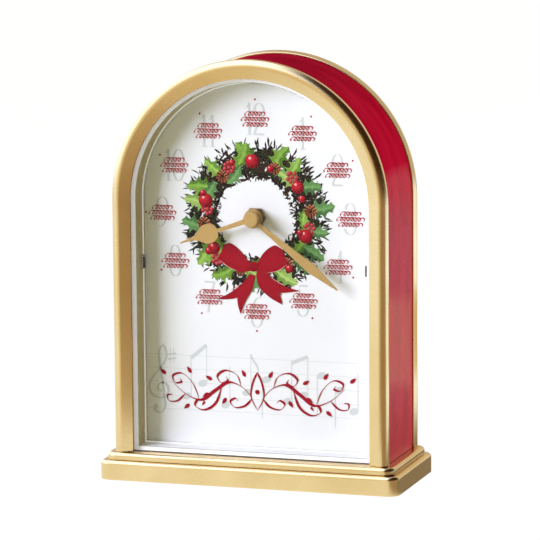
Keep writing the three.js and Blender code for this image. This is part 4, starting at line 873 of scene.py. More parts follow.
class Ink:
    """Flat printed shapes that become one mesh with a colour at every point."""

    def __init__(self, name, lift):
        self.name = name
        self.front = dial_low.y - lift
        self.layer = 0
        self.points, self.faces, self.colours = [], [], []

    def grid(self, rows, colours):
        """Quads over rows of (x, z) points, each point with its colour."""
        count = len(rows[0])
        first = len(self.points)
        self.layer += 1
        y = self.front - LAYER * self.layer
        self.points += [(x, y, z) for row in rows for x, z in row]
        self.colours += [colour for row in colours for colour in row]
        for row in range(len(rows) - 1):
            for column in range(count - 1):
                corner = first + row * count + column
                self.faces.append((corner, corner + 1, corner + count + 1, corner + count))

    def pen(self, path, thick, thin, colour, nib=0.0, taper=0.0):
        """A ribbon along a path whose width follows a flat nib held at an angle."""
        last = len(path) - 1
        rows = []
        for index, spot in enumerate(path):
            ahead = (Vector(path[min(index + 1, last)]) - Vector(path[max(index - 1, 0)])).normalized()
            across = abs(math.sin(math.atan2(ahead.y, ahead.x) - math.radians(nib)))
            width = thin + (thick - thin) * across ** NIB_POWER
            if taper:
                width *= min(1.0, TIP_SHARE + min(index, last - index) / last / taper)
            side = Vector((-ahead.y, ahead.x)) * width / 2
            rows.append([Vector(spot) + side, Vector(spot) - side])
        self.grid(rows, [[colour, colour]] * len(rows))

    def disc(self, centre, radius, light, dark, squash=1.0, tilt=0.0, rings=4, sides=20):
        """A round or oval spot, light at its upper left and dark towards the rim."""
        rows, colours = [], []
        lean = math.radians(tilt)
        along = Vector((math.cos(lean), math.sin(lean))) * radius
        across = Vector((-math.sin(lean), math.cos(lean))) * radius * squash
        for ring in range(rings + 1):
            r = ring / rings
            spots = [Vector((r * math.cos(math.tau * step / sides), r * math.sin(math.tau * step / sides)))
                     for step in range(sides + 1)]
            rows.append([Vector(centre) + along * s.x + across * s.y for s in spots])
            depths = [min((s - BRIGHT_SPOT).length / BRIGHT_REACH, 1.0) for s in spots]
            colours.append([mixed(light, dark, depth) for depth in depths])
        self.grid(rows, colours)

    def sheet(self, upper, lower, light, dark, notch=0.0, steps=8):
        """The area between two paths, dark along both and light in the middle. Its end can have a notch."""
        levels = [step / steps for step in range(steps + 1)]
        rows = []
        for level in levels:
            middle = [Vector(p).lerp(Vector(q), level) for p, q in zip(upper, lower)]
            reach = 1 - notch * (1 - abs(2 * level - 1))
            spots = [index * reach for index in range(len(middle))]
            stops = [(int(s), min(int(s) + 1, len(middle) - 1), s % 1) for s in spots]
            rows.append([middle[here].lerp(middle[there], share) for here, there, share in stops])
        shades = [mixed(dark, light, math.sin(math.pi * level) ** 0.7) for level in levels]
        self.grid(rows, [[tone] * len(upper) for tone in shades])

    def make(self):
        made = piece(self.name, self.points, self.faces, "dial_white", material=ink_finish)
        for polygon in made.data.polygons:
            if polygon.normal.y > 0:
                polygon.flip()
        ink = made.data.color_attributes.new("ink", "FLOAT_COLOR", "POINT")
        ink.data.foreach_set("color", [part for colour in self.colours for part in colour])
        print(self.name, "has", len(self.faces), "faces")


print("one layer of ink is", LAYER, "mm")

# %% [markdown]
# ## Paths for the pen
#
# Curves could be Blender's own curve objects, but a pen only needs the points along them. `arc` follows
# an ellipse between two angles, and `smooth_path` passes through all its knots, as a hand does that draws
# from dot to dot.

# %% Paths
def arc(x, z, rx, rz, begin, end, steps=28):
    turns = [math.radians(begin + (end - begin) * step / steps) for step in range(steps + 1)]
    return [(x + rx * math.cos(a), z + rz * math.sin(a)) for a in turns]


def smooth_path(knots, steps=8):
    """A curve through the knots."""
    knots = [Vector(knot) for knot in knots]
    ends = [2 * knots[0] - knots[1], *knots, 2 * knots[-1] - knots[-2]]
    path = []
    for p, q, r, s in zip(ends, ends[1:], ends[2:], ends[3:]):
        for step in range(steps):
            t = step / steps
            square = (2 * p - 5 * q + 4 * r - s) * t ** 2
            cube = (3 * q - 3 * r + s - p) * t ** 3
            path.append(0.5 * (2 * q + (r - p) * t + square + cube))
    return path + [knots[-1]]


print("a half circle of the pen has", len(arc(0, 0, 1, 1, 0, 180)), "points")

# %% [markdown]
# ## Figures round the dial
#
# The figures are pale, upright and narrow, with strong stems and hair lines. Blender's own font is too
# plain for that, so each figure is a few pen strokes in a box that starts at its lower left corner. The
# middle of their ring lies a little above the axis. Small red dots mark the hours outside the figures.

# %% Figures
FIGURE_HEIGHT = 17.2
FIGURE_WIDTH = 6.6
FIGURE_RING = 52.8
FIGURE_RING_UP = 51.8
FIGURE_RISE = 1.0
DOT_RING = 62.3
DOT_RADIUS = 0.55
STEM = 1.3
HAIR = 0.32
PALE = shade(216, 220, 219)
RED = shade(178, 16, 40)
top = FIGURE_HEIGHT


def plain(a, b, width):
    return ([a, ((a[0] + b[0]) / 2, (a[1] + b[1]) / 2), b], width, width)


def nib(path):
    return (path, STEM, HAIR)


SIX = [nib(arc(3.4, 4.9, 2.9, 4.75, 0, 360)),
       nib(bend((5.6, top - 1.4), (3.4, top + 0.6), (0.5, 12.5), (0.5, 4.9)))]
STROKES = {
    "0": [nib(arc(3.6, top / 2, 3.2, top / 2 - 0.15, 90, 450))],
    "1": [nib([(2.4, 0.15), (2.4, 8), (2.4, top)]),
          nib(bend((2.4, top), (2.2, top - 1.6), (1.2, top - 2.3), (0.3, top - 2.4))),
          plain((0.7, 0.15), (4.1, 0.15), HAIR)],
    "2": [nib(arc(3.2, top - 4.3, 2.6, 4.15, 190, 0)),
          nib(bend((5.8, top - 4.3), (5.8, top - 8.5), (0.8, 4.6), (0.5, 0.5))),
          plain((0.4, 0.5), (6.0, 0.5), 1.0)],
    "3": [nib(arc(3.0, top - 4.0, 2.5, 3.85, 170, -90)), nib(arc(3.0, 4.7, 3.0, 4.55, 90, -165))],
    "4": [plain((4.6, top), (0.3, 4.6), 0.45), plain((0.3, 4.6), (6.4, 4.6), 0.4),
          nib([(4.6, 0.15), (4.6, 8), (4.6, top)]), plain((3.2, 0.15), (6.0, 0.15), HAIR)],
    "5": [plain((1.1, top - 0.5), (5.6, top - 0.5), 1.0), plain((1.1, top), (1.1, 8.6), 0.4),
          nib(arc(2.8, 5.0, 3.0, 4.85, 125, -165))],
    "6": SIX,
    "7": [plain((0.4, top - 0.5), (6.2, top - 0.5), 1.0),
          nib(bend((6.0, top - 0.8), (4.0, 10), (2.6, 6), (2.4, 0.15)))],
    "8": [nib(arc(3.2, top - 4.1, 2.4, 3.95, 90, 450)), nib(arc(3.2, 4.6, 2.9, 4.45, 90, 450))],
    "9": [([(FIGURE_WIDTH - x, top - z) for x, z in path], thick, thin) for path, thick, thin in SIX],
}
ADVANCE = {"0": 7.2, "1": 4.6}


def hour_spot(hour, across, up):
    """A place on the ring of figures, whose middle lies a little above the axis."""
    angle = math.radians(30 * hour)
    return across * math.sin(angle), HUB_Z + FIGURE_RISE + up * math.cos(angle)


figures = Ink("dial_figures", DIAL_LIFT)
for hour in range(1, 13):
    text = str(hour)
    widths = [ADVANCE.get(mark, FIGURE_WIDTH) for mark in text]
    middle_x, middle_z = hour_spot(hour, FIGURE_RING, FIGURE_RING_UP)
    left = middle_x - sum(widths) / 2
    bottom = middle_z - FIGURE_HEIGHT / 2
    for mark, width in zip(text, widths):
        for path, thick, thin in STROKES[mark]:
            figures.pen([(left + x, bottom + z) for x, z in path], thick, thin, PALE)
        left += width
    figures.disc(hour_spot(hour, DOT_RING, DOT_RING), DOT_RADIUS, RED, RED)
figures.make()

# %% [markdown]
# ## Stave, clef and notes
#
# Five pale lines cross the foot of the dial. A music font could set them, but strokes of the same pen
# match the figures. The clef is one long pen stroke through knots that are given in units of its own, and
# a sharp stands beside it. The notes are tilted ovals with a stem and sometimes a flag or a beam. Each
# note is its place from the middle, its space on the stave and the way of its stem: 1 up, -1 down and 0
# up with a flag.

# %% Stave
STAVE_FOOT = 37.0
STAVE_SPACE = 7.45
STAVE_REACH = OPENING_HALF - 0.5
STAVE_LINE = 0.3
CLEF_KNOTS = [
    (0.1, -0.35), (-0.32, 0.0), (-0.02, 0.5), (0.55, 0.45), (0.85, -0.1), (0.55, -0.8), (-0.15, -1.0),
    (-0.95, -0.65), (-1.2, 0.2), (-0.75, 1.2), (0.05, 2.1), (0.6, 3.0), (0.6, 3.9), (0.25, 4.35),
    (-0.1, 3.8), (-0.1, 2.8), (0.15, 1.0), (0.4, -1.0), (0.45, -1.9), (0.0, -2.5), (-0.6, -2.3),
    (-0.65, -1.85)]
CLEF_END = (-0.55, -1.9)
CLEF_AT = (-55.2, STAVE_FOOT + 1.5 * STAVE_SPACE)
CLEF_UNIT = 5.4
SHARP_STEMS = (-49.4, -47.4)
SHARP_BARS = (64.6, 67.2)
NOTES = [(-40, 1, 1), (-31, 2, 1), (-18, 0.5, 1), (-6, 1.5, 0), (5, 2.5, -1),
         (17, 1, 1), (26, 1.5, 1), (36, 3, -1), (46, 2, -1), (54, 0.5, 1)]
BEAMS = [(0, 1), (5, 6)]
NOTE_HEAD = 2.7
NOTE_STEM = 21.0
STEM_ASIDE = 2.35
STEM_WIDTH = 0.4
BEAM = 1.9
FAINT = shade(228, 231, 230)


def on_clef(x, z):
    return CLEF_AT[0] + CLEF_UNIT * x, CLEF_AT[1] + CLEF_UNIT * z


def stem_tip(note):
    """The upper end of a note's stem."""
    x, place, _ = NOTES[note]
    return Vector((x + STEM_ASIDE, STAVE_FOOT + place * STAVE_SPACE + NOTE_STEM))


stave = Ink("dial_stave", DIAL_LIFT)
for line in range(5):
    z = STAVE_FOOT + line * STAVE_SPACE
    stave.pen([(-STAVE_REACH, z), (0, z), (STAVE_REACH, z)], STAVE_LINE, STAVE_LINE, FAINT)
stave.pen(smooth_path([on_clef(*knot) for knot in CLEF_KNOTS]), 1.5, 0.5, PALE, nib=25)
stave.disc(on_clef(*CLEF_END), 1.2, PALE, PALE)
for x in SHARP_STEMS:
    stave.pen([(x, 62.0), (x, 66.0), (x, 70.4)], 0.4, 0.4, PALE)
for z in SHARP_BARS:
    stave.pen([(-50.8, z - 0.4), (-48.4, z), (-46.0, z + 0.4)], 0.9, 0.9, PALE)
for x, place, way in NOTES:
    z = STAVE_FOOT + place * STAVE_SPACE
    stave.disc((x, z), NOTE_HEAD, PALE, PALE, squash=0.68, tilt=22)
    up = 1 if way >= 0 else -1
    stem_x = x + STEM_ASIDE * up
    tip = z + NOTE_STEM * up
    stave.pen([(stem_x, z), (stem_x, (z + tip) / 2), (stem_x, tip)], STEM_WIDTH, STEM_WIDTH, PALE)
    if way == 0:
        flag = bend((stem_x, tip), (stem_x + 1, tip - 5), (stem_x + 6, tip - 6), (stem_x + 3.5, tip - 12))
        stave.pen(flag, 1.3, 0.5, PALE, nib=60)
for pair in BEAMS:
    first, last = map(stem_tip, pair)
    stave.pen([first, first.lerp(last, 0.5), last], BEAM, BEAM, PALE)
stave.make()

# %% [markdown]
# ## Scrolls
#
# A band of crimson scroll work lies over the stave. One half is drawn and then mirrored, with the nib
# mirrored too, because a pattern that is drawn twice by hand never matches. Three short rows of running
# loops lie over every figure. They share one layer, since no row touches another.

# %% Scrolls
CRIMSON = shade(162, 12, 38)
BAND_Z = STAVE_FOOT + 11.0
BAND_STROKES = [
    ([(3.0, -3.0), (8, 2.5), (16, 5.2), (24, 0.3), (32, -5.2), (41, -2.2), (49.5, 5.0)], 2.0),
    ([(9, 3), (11.6, 9.4), (18, 11.6), (22.6, 8.4), (20.4, 4.6), (16.8, 6.0), (17.8, 8.4)], 1.5),
    ([(20, 3), (23.6, -6.4), (30, -10.6), (35.4, -8.8), (34.0, -5.2), (30.4, -6.0), (31.6, -8.2)], 1.5),
    ([(33, -5), (36.6, 3.4), (42.6, 8.8), (48.0, 7.4), (46.8, 3.6), (43.2, 4.2), (44.4, 6.4)], 1.4),
    ([(41, -2.2), (45.6, -6.4), (50.4, -6.6), (51.2, -3.6), (48.4, -3.0)], 1.1),
    ([(3.0, -3.0), (7.0, -7.2), (12.6, -8.4), (15.4, -5.4), (12.6, -3.4), (10.8, -5.0)], 1.3),
    ([(0.0, -9.6), (3.6, -2.0), (2.6, 5.4), (0.0, 11.4)], 1.2),
]
BAND_DROPS = [(6.6, 8.6, 60), (25.6, 6.0, 30), (27.6, -1.2, -35), (38.6, -7.8, -40), (17.6, -3.4, -55),
              (37.4, 9.2, 55), (52.0, 8.0, 40)]
SCROLL_LIFT = 0.15
BAND_HAIR = 0.28
BAND_NIB = 40
DROP_LENGTH = 4.4
DROP_HALF = 0.24
DROP_STEPS = 8
LOOP_ROWS = [(2.9, 5), (0.0, 7), (-2.9, 6)]
LOOP_LAYER = 40
LOOP_PITCH = 2.0
LOOP_RADIUS = 1.0
LOOP_SWING = 1.05
LOOP_LEAN = 0.35
LOOP_PEN = (0.75, 0.22)
LOOP_NIB = 40
LOOP_STEPS = 14
scrolls = Ink("dial_scrolls", SCROLL_LIFT)


def drop(x, z, angle):
    """A leaf-like drop that starts at a point and follows an angle."""
    heading = Vector((math.cos(math.radians(angle)), math.sin(math.radians(angle))))
    aside = Vector((-heading.y, heading.x))
    rows = []
    for step in range(DROP_STEPS + 1):
        t = step / DROP_STEPS
        middle = Vector((x, z)) + heading * DROP_LENGTH * t
        half = aside * DROP_LENGTH * DROP_HALF * math.sin(math.pi * t ** 0.75)
        rows.append([middle + half, middle - half])
    scrolls.grid(rows, [[CRIMSON, CRIMSON]] * len(rows))


def running_loops(x, z, loops):
    """A row of leaning pen loops, centred on a point."""
    path = []
    for step in range(loops * LOOP_STEPS + 1):
        turn_by = math.tau * step / LOOP_STEPS
        rise = -LOOP_RADIUS * math.cos(turn_by)
        swing = LOOP_SWING * LOOP_RADIUS * math.sin(turn_by)
        along = LOOP_PITCH * (turn_by / math.tau - loops / 2) - swing
        path.append((x + along + LOOP_LEAN * rise, z + rise))
    scrolls.pen(path, *LOOP_PEN, RED, nib=LOOP_NIB)


for side in (-1, 1):
    for knots, thick in BAND_STROKES:
        path = smooth_path([(side * x, BAND_Z + z) for x, z in knots])
        scrolls.pen(path, thick, BAND_HAIR, CRIMSON, nib=side * BAND_NIB, taper=0.12)
for side in (-1, 1):
    for x, z, angle in BAND_DROPS:
        drop(side * x, BAND_Z + z, angle if side > 0 else 180 - angle)
scrolls.disc((0, BAND_Z + 0.6), 1.3, CRIMSON, CRIMSON)
for hour in range(1, 13):
    x, z = hour_spot(hour, FIGURE_RING, FIGURE_RING_UP)
    for level, loops in LOOP_ROWS:
        scrolls.layer = LOOP_LAYER
        running_loops(x, z + level, loops)
scrolls.make()

# %% [markdown]
# ## Parts of the wreath
#
# The wreath is made of twigs, pointed leaves, cones, baubles and berries. One leaf could be copied many
# times, but the eye finds copies at once, so every part is drawn with a seeded chance: each run gives the
# same wreath.

# %% Parts of the wreath
TWIG_TONES = [shade(34, 24, 20), shade(44, 30, 24), shade(24, 22, 16), shade(34, 44, 24), shade(58, 44, 30)]
LEAF_TONES = [(shade(162, 202, 92), shade(62, 108, 28)), (shade(140, 184, 74), shade(44, 84, 22)),
              (shade(120, 168, 98), shade(38, 78, 44)), (shade(182, 212, 116), shade(80, 128, 34))]
BERRY_LIGHT = shade(238, 96, 104)
BERRY_DARK = shade(120, 6, 20)
TWIG_BENDS = 3
TWIG_STRAY = 0.3
LEAF_STEPS = 21
LEAF_HALF = 0.47
LEAF_CURL = 0.12
SPINES = 3.5
SPINE_DEPTH = 0.56
LEAF_RIBS = (1, 0.5, 0.06, -0.06, -0.5, -1)
BERRY_RADIUS = 1.2
BERRY_SPREAD = 2.5
BERRIES_ROUND = 7
SCALE_RINGS = ((1.0, 11), (0.72, 8), (0.42, 5))
SCALE_FORM = ((0.5, 0.3), (0.75, 0.9), (0.95, 1.0), (1.02, 0.4))
chance = random.Random(7)
wreath = Ink("dial_wreath", DIAL_LIFT)


def ring_spot(angle, radius):
    return Vector((radius * math.sin(angle), HUB_Z + radius * math.cos(angle)))


def twig(angle, radius, length, width, lean):
    """A short crooked stroke that leaves the ring at a lean from straight out."""
    heading = angle + lean
    knots = [ring_spot(angle, radius)]
    for _ in range(TWIG_BENDS):
        heading += chance.uniform(-TWIG_STRAY, TWIG_STRAY)
        knots.append(knots[-1] + Vector((math.sin(heading), math.cos(heading))) * length / TWIG_BENDS)
    wreath.pen(smooth_path(knots, 2), width, width, chance.choice(TWIG_TONES), taper=0.4)


def holly(angle, radius, length, lean):
    """A pointed leaf with three spines on each side and a pale rib."""
    light, dark = chance.choice(LEAF_TONES)
    start = ring_spot(angle, radius)
    heading = Vector((math.sin(angle + lean), math.cos(angle + lean)))
    aside = Vector((-heading.y, heading.x))
    curl = chance.uniform(-LEAF_CURL, LEAF_CURL)
    rows, colours = [], []
    for step in range(LEAF_STEPS + 1):
        t = step / LEAF_STEPS
        spine = 1 - SPINE_DEPTH * abs(math.sin(math.pi * SPINES * t)) ** 0.6
        swell = math.sin(math.pi * min(t * 0.96 + 0.04, 1.0)) ** 0.6
        half = length * LEAF_HALF * swell * spine * (1 - 0.3 * t)
        middle = start + heading * length * t + aside * length * curl * math.sin(math.pi * t)
        rows.append([middle + aside * half * side for side in LEAF_RIBS])
        lit = mixed(dark, light, 0.25 + 0.6 * t)
        dim = mixed(dark, light, 0.05 + 0.35 * t)
        colours.append([mixed(lit, light, 0.5), lit, light, light, dim, mixed(dim, light, 0.25)])
    wreath.grid(rows, colours)


def bauble(angle, radius, size):
    """A glossy ball with a small highlight."""
    place = ring_spot(angle, radius)
    wreath.disc(place, size, shade(226, 42, 60), BERRY_DARK)
    gleam = place + Vector((-0.3, 0.42)) * size
    wreath.disc(gleam, size * 0.2, shade(255, 236, 230), shade(240, 150, 150), rings=2, sides=10)


def berries(angle, radius):
    """One berry with seven round it."""
    centre = ring_spot(angle, radius)
    for step in range(BERRIES_ROUND + 1):
        spread = 0.0 if step == 0 else BERRY_SPREAD
        turn_by = step * math.tau / BERRIES_ROUND + chance.uniform(-0.2, 0.2)
        place = centre + Vector((math.cos(turn_by), math.sin(turn_by))) * spread
        wreath.disc(place, BERRY_RADIUS, BERRY_LIGHT, BERRY_DARK, rings=2, sides=10)


def cone(angle, radius, size):
    """A cone seen from its tip: rings of scales, the outer ones first."""
    centre = ring_spot(angle, radius)
    wreath.disc(centre, size, shade(66, 32, 22), shade(46, 24, 18))
    for ring, count in SCALE_RINGS:
        for step in range(count):
            turn_by = math.tau * (step + ring) / count
            out = Vector((math.cos(turn_by), math.sin(turn_by))) * size * ring
            aside = Vector((-out.y, out.x)).normalized() * size * 0.15
            tip = mixed(shade(228, 152, 104), shade(150, 78, 48), 0.5 - 0.5 * math.sin(turn_by + 0.8))
            rows = [[centre + out * share + aside * width, centre + out * share - aside * width]
                    for share, width in SCALE_FORM]
            wreath.grid(rows, [[tone, tone] for tone in (shade(60, 28, 18), shade(128, 64, 40), tip, tip)])


print("wreath has", len(TWIG_TONES), "twig tones and", len(LEAF_TONES), "leaf tones")

# %% [markdown]
# ## Growing the wreath
#
# Dark flecks and twigs fill a ring, leaves lie over them in two rows, and cones, berries and baubles sit
# on top at even steps with a little stray. A thousand shapes in a thousand layers would stand out from
# the dial, so flecks and twigs share sixty layers, and each kind on top starts from a layer of its own.

# %% Growing the wreath
TWIG_LAYERS = 60
LEAF_LAYER = 64
CONE_LAYER = 96
BERRY_LAYER = 122
BAUBLE_LAYER = 132
FLECKS = 1000
# A count, the limits of radius, length and width, the middle lean and its stray.
TWIG_ROUNDS = [
    (560, (22.0, 37.0), (3.5, 6.0), (0.9, 2.0), 0.0, 2.2),
    (210, (35.5, 39.5), (3.0, 5.5), (0.5, 1.1), 0.0, 0.8),
    (80, (21.5, 23.0), (1.5, 3.2), (0.6,), math.pi, 0.9),
]
# A count, the first step, its stray, and the limits of radius and size.
BAUBLE_ROUNDS = [(6, 0.85, 0.1, (27.0, 31.0), (3.4, 4.0)), (8, 0.35, 0.2, (25.5, 34.5), (1.8, 2.3))]
OUTER_LEAVES = 18
INNER_LEAVES = 12
CONES = 6
CLUSTERS = 6


def drawn(low, high=None):
    """A number between two limits, or the only one given, for which nothing is drawn."""
    return low if high is None else chance.uniform(low, high)


def stray_step(step, count, first, stray):
    """The angle of one of several even steps round the ring, with a little stray."""
    return math.tau * (step + first + chance.uniform(-stray, stray)) / count


for index in range(FLECKS):
    wreath.layer = index % TWIG_LAYERS
    tone = chance.choice(TWIG_TONES)
    spot = ring_spot(chance.uniform(0, math.tau), chance.uniform(22.5, 36.5))
    size = chance.uniform(1.8, 3.2)
    wreath.disc(spot, size, tone, tone, squash=0.28, tilt=chance.uniform(0, 180), rings=1, sides=7)
for count, radius, length, width, lean, stray in TWIG_ROUNDS:
    for index in range(count):
        wreath.layer = index % TWIG_LAYERS
        angle = chance.uniform(0, math.tau)
        sizes = [drawn(*limits) for limits in (radius, length, width)]
        twig(angle, *sizes, lean + chance.uniform(-stray, stray))
wreath.layer = LEAF_LAYER
for step in range(OUTER_LEAVES):
    angle = stray_step(step, OUTER_LEAVES, 0.0, 0.25)
    holly(angle, chance.uniform(28.0, 30.5), chance.uniform(12.5, 15.0), chance.uniform(-0.8, 0.8))
for step in range(INNER_LEAVES):
    angle = stray_step(step, INNER_LEAVES, 0.5, 0.3)
    holly(angle, chance.uniform(27.5, 30.0), chance.uniform(10.5, 12.5),
          math.pi * chance.choice((-0.6, 0.6)) + chance.uniform(-0.4, 0.4))
for step in range(CONES):
    wreath.layer = CONE_LAYER
    cone(stray_step(step, CONES, 0.3, 0.12), chance.uniform(28.5, 31.5), chance.uniform(3.2, 3.7))
for step in range(CLUSTERS):
    wreath.layer = BERRY_LAYER
    berries(stray_step(step, CLUSTERS, 0.62, 0.12), chance.uniform(27.0, 32.0))
wreath.layer = BAUBLE_LAYER
for count, first, stray, radius, size in BAUBLE_ROUNDS:
    for step in range(count):
        bauble(stray_step(step, count, first, stray), chance.uniform(*radius), chance.uniform(*size))
wreath.make()

# %% [markdown]
# ## Bow
#
# Two loops and two tails in red ribbon. Real ribbon could be bent from a strip, but in print it is only
# an area with soft shading. So each is the area between an upper and a lower edge, and a thin pale line
# runs along some edges.

# %% Bow
BOW_LIFT = 0.36
BOW_AT = Vector((-1.6, HUB_Z - 26.4))
RIBBON = shade(164, 10, 34)
RIBBON_DARK = shade(128, 4, 22)
RIBBON_EDGE = shade(232, 172, 164)
# The knots of the upper and the lower edge, and how deep the end is notched.
BOW_SHEETS = [
    ([(-2, -4), (-6.5, -9.5), (-13.0, -14.5), (-20.5, -18.5)],
     [(1.0, -5), (-0.5, -12), (-4.5, -19.0), (-7.5, -26.0)], 0.3),
    ([(1.4, -4.4), (3.2, -11), (9.2, -16.4), (16.0, -20.0)],
     [(3.4, -2.6), (9.5, -5.2), (17.5, -9.8), (26.0, -12.2)], 0.28),
    ([(-2.0, 1.8), (-7.0, 8.0), (-12.4, 12.0), (-16.2, 11.4)],
     [(-2.0, -2.6), (-8.0, -3.2), (-14.5, -0.4), (-20.2, 3.2)], 0.0),
    ([(2.0, 1.8), (6.4, 8.2), (11.8, 11.8), (15.8, 10.2)],
     [(2.0, -2.6), (7.6, -3.6), (14.0, -1.6), (19.4, 2.2)], 0.0),
]
BOW_LINES = [
    [(-19.4, 3.0), (-14.0, -0.8), (-8.6, -3.0)], [(19.0, 1.8), (13.4, -1.9), (7.0, -3.2)],
    [(-7.0, -9.8), (-10.5, -12.0), (-13.6, -13.6)], [(9.6, -5.4), (13.4, -7.6), (17.0, -9.6)]]


def bow_path(knots):
    return smooth_path([BOW_AT + Vector(knot) for knot in knots])


bow = Ink("dial_bow", BOW_LIFT)
for upper, lower, notch in BOW_SHEETS:
    bow.sheet(bow_path(upper), bow_path(lower), RIBBON, mixed(RIBBON, RIBBON_DARK, 0.5), notch)
for knots in BOW_LINES:
    bow.pen(bow_path(knots), 0.4, 0.3, RIBBON_EDGE, taper=0.3)
bow.disc(BOW_AT, 3.1, RIBBON, RIBBON_DARK, squash=0.9)
bow.make()

# %% [markdown]
# ## The studio floor
#
# The floor is white to the camera. A floor that bright would light the clock from below, so to scattered
# light it is a dull tone. Gilt takes its colour from what it mirrors, so mirrors see a third floor: its
# colour follows the heading of a spot from the clock's middle, in degrees, where -90 is in front and 0 is
# to the right. Close by, a strip in front is bright and a strip on the right is dim. The strips' limits
# are in metres.

# %% Studio floor
BRIGHT = (1.05, 1.12, 1.30, 1.0)
SHINE = (1.08, 1.20, 1.50, 1.0)
AMBER = (0.86, 0.80, 0.71, 1.0)
BROWN = (0.53, 0.43, 0.34, 1.0)
DUSK = (0.46, 0.345, 0.255, 1.0)
GLEAM = (1.25, 1.5, 2.2, 1.0)
DIM = (0.30, 0.24, 0.19, 1.0)
SHADE = (0.29, 0.245, 0.185, 1.0)
FLOOR_HEADINGS = [
    (-180, BRIGHT), (-142, SHINE), (-126, SHINE), (-112, AMBER), (-98, AMBER), (-94, BROWN), (-88, BROWN),
    (-79, DUSK), (-18, DUSK), (4, GLEAM), (52, GLEAM), (66, DIM), (115, DIM), (135, BRIGHT), (180, BRIGHT)]
FLOOR_TONE = (0.55, 0.53, 0.36, 1.0)
FLOOR_HALF = 4
FLOOR_WHITE = 1.1
FLOOR_SHARE = 0.9
FRONT_STRIP = ((-0.22, -0.13), (-0.02, -0.036))
FRONT_STRIP_RIGHT = (0.10, 0.08)
RIGHT_STRIP = ((0.22, 0.16), (0.055, 0.075))
RIGHT_STRIP_FRONT = (-0.05, -0.02)


def soft(tree, value, low, high):
    """A soft step from 0 to 1 between two values."""
    return ramp(tree, value, low, high, kind="SMOOTHSTEP")


def strip(tree, across, limits, along, end):
    """A mask of a strip with two soft sides and one soft end."""
    sides = times(tree, soft(tree, across, *limits[0]), soft(tree, across, *limits[1]))
    return times(tree, sides, soft(tree, along, *end))


def straight_view(tree):
    """1 for what the camera sees, directly or through the glass, and 0 for all other light."""
    path = add(tree, "LightPath").outputs
    first = math_node(tree, "LESS_THAN", path["Diffuse Depth"], 0.5)
    return math_node(tree, "MAXIMUM", path["Is Camera Ray"], times(tree, path["Is Transmission Ray"], first))


def floor_in_mirrors(tree):
    axes = axes_of(tree, object_place(tree))
    heading = math_node(tree, "ARCTAN2", axes["Y"], axes["X"])
    circle = add(tree, "ValToRGB", {0: ramp(tree, heading, -math.pi, math.pi)})
    stops = circle.color_ramp.elements
    while len(stops) < len(FLOOR_HEADINGS):
        stops.new(0.5)
    for stop, (degrees, colour) in zip(stops, FLOOR_HEADINGS):
        stop.position = (degrees + 180) / 360
        stop.color = colour
    right = strip(tree, axes["X"], RIGHT_STRIP, axes["Y"], RIGHT_STRIP_FRONT)
    front = strip(tree, axes["Y"], FRONT_STRIP, axes["X"], FRONT_STRIP_RIGHT)
    return blend_colours(tree, front, blend_colours(tree, right, circle.outputs[0], SHADE), BRIGHT)


def flat_sheet(name, corners, material):
    """A single face that belongs to the studio and not to the clock."""
    mesh = bpy.data.meshes.new(name)
    mesh.from_pydata(corners, [], [(0, 1, 2, 3)])
    mesh.materials.append(material)
    made = new_object(name, mesh)
    return made


def make_floor():
    material, tree, surface = shader_of("white floor")
    fill(tree, surface, {"Base Color": FLOOR_TONE, "Roughness": 0.8, "Specular IOR Level": 0.0})
    glossy = add(tree, "LightPath").outputs["Is Glossy Ray"]
    layered = mix_shaders(tree, glossy, surface, add(tree, "Emission", {"Color": floor_in_mirrors(tree)}))
    white = add(tree, "Emission", {"Strength": FLOOR_WHITE})
    show(tree, mix_shaders(tree, times(tree, straight_view(tree), FLOOR_SHARE), layered, white))
    corners = [(-1, -1), (1, -1), (1, 1), (-1, 1)]
    flat_sheet("floor", [(x * FLOOR_HALF, y * FLOOR_HALF, 0) for x, y in corners], material)


make_floor()
print("floor has", len(FLOOR_HEADINGS), "headings")

# %% [markdown]
# ## The studio room and its lamps
#
# The room is white to the camera and gives a weak warm glow from all round. To mirrors it is warm in
# front, bright on the left and overhead, dark on the right and paler behind. A pale card behind the right
# of the base is for mirrors alone. A key lamp on the upper left and a softer one at the right rear light
# the clock. Lamps with hard edges would show in the gilt, so mirrors and the camera don't see them.

# %% Studio room and lamps
ROOM_GLOW = (0.20, 0.197, 0.09, 1.0)
ROOM_FRONT = (0.95, 0.86, 0.74, 1.0)
ROOM_BEHIND_LEFT = (0.60, 0.52, 0.45, 1.0)
ROOM_BEHIND_RIGHT = (0.95, 0.95, 1.0, 1.0)
ROOM_LEFT = (1.65, 1.95, 2.9, 1.0)
ROOM_RIGHT = (0.05, 0.025, 0.015, 1.0)
ZENITH = (1.9, 2.3, 3.9, 1.0)
CARD = (0.78, 0.66, 0.50, 1.0)
CARD_CORNERS = [(0.06, 0.12, 0.03), (0.22, 0.12, 0.03), (0.22, 0.12, 0.08), (0.06, 0.12, 0.08)]


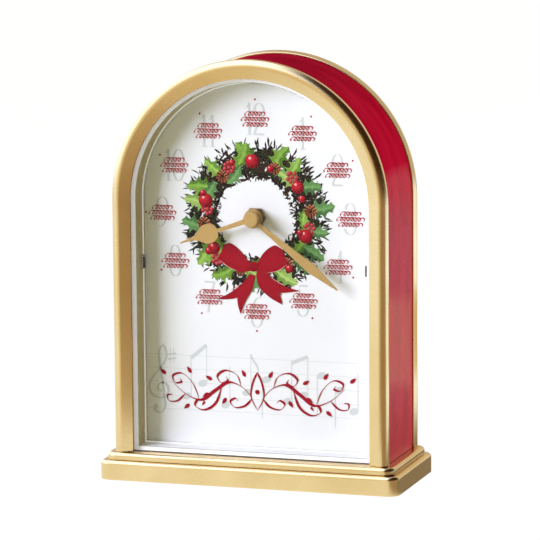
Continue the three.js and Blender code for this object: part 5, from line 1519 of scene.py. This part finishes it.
def make_room():
    world = bpy.data.worlds.new("studio")
    world.use_nodes = True
    tree = world.node_tree
    axes = axes_of(tree, add(tree, "TexCoord").outputs["Generated"])
    behind = blend_colours(tree, soft(tree, axes["X"], -0.15, 0.3), ROOM_BEHIND_LEFT, ROOM_BEHIND_RIGHT)
    mirrored = blend_colours(tree, soft(tree, axes["Y"], -0.1, 0.5), ROOM_FRONT, behind)
    mirrored = blend_colours(tree, soft(tree, axes["X"], -0.25, -0.8), mirrored, ROOM_LEFT)
    overhead = times(tree, soft(tree, axes["Z"], 0.22, 0.66), soft(tree, axes["Y"], 0.65, 0.35))
    mirrored = blend_colours(tree, overhead, mirrored, ZENITH)
    right = times(tree, soft(tree, axes["X"], -0.15, 0.25), soft(tree, axes["Y"], 0.8, 0.45))
    mirrored = blend_colours(tree, right, mirrored, ROOM_RIGHT)
    colour = blend_colours(tree, add(tree, "LightPath").outputs["Is Glossy Ray"], ROOM_GLOW, mirrored)
    colour = blend_colours(tree, straight_view(tree), colour, WHITE)
    fill(tree, tree.nodes["Background"], {"Color": colour})
    bpy.context.scene.world = world


def make_card():
    material, tree, _ = shader_of("pale card")
    show(tree, add(tree, "Emission", {"Color": CARD}))
    card = flat_sheet("card", CARD_CORNERS, material)
    for kind in ("camera", "diffuse", "transmission", "shadow"):
        setattr(card, "visible_" + kind, False)


def lamp(name, place, target, size, power, colour):
    data = bpy.data.lights.new(name, "AREA")
    data.shape = "RECTANGLE"
    data.size, data.size_y = size
    data.energy = power
    data.color = colour
    made = new_object(name, data)
    made.location = place
    made.rotation_euler = (Vector(target) - Vector(place)).to_track_quat("-Z", "Y").to_euler()
    made.visible_camera = False
    made.visible_glossy = False


make_room()
make_card()
lamp("key", place=(-1.12, -0.83, 0.68), target=(0, 0, 0.13), size=(0.8, 0.8), power=36.0,
     colour=(0.80, 0.82, 1.0))
lamp("side", place=(0.9, 0.7, 0.4), target=(0, 0, 0.1), size=(1.1, 0.7), power=14.0,
     colour=(1.0, 0.98, 0.96))
bpy.context.scene.view_settings.view_transform = "Standard"
print("lamps:", [light.name for light in bpy.data.lights])

# %% [markdown]
# ## The rest of the clock
#
# Pieces behind the dial and under the base keep their own solids, because their shapes are already right.
# They only need a finish and slightly eased edges, which a weld and a narrow bevel give them. These
# lengths are in metres.

# %% Remaining solids
WELD_REACH = 0.000002
EDGE_EASE = 0.00015

dressed = 0
for node, solid in frame["nodes"].items():
    if solid.hide_render:
        continue
    solid.data.materials.clear()
    solid.data.materials.append(finishes[slot_of[node]])
    weld = solid.modifiers.new("weld", "WELD")
    weld.merge_threshold = WELD_REACH
    ease = solid.modifiers.new("ease", "BEVEL")
    ease.width = EDGE_EASE
    ease.segments = 2
    ease.limit_method = "ANGLE"
    dressed += 1
print("solids that stay:", dressed)
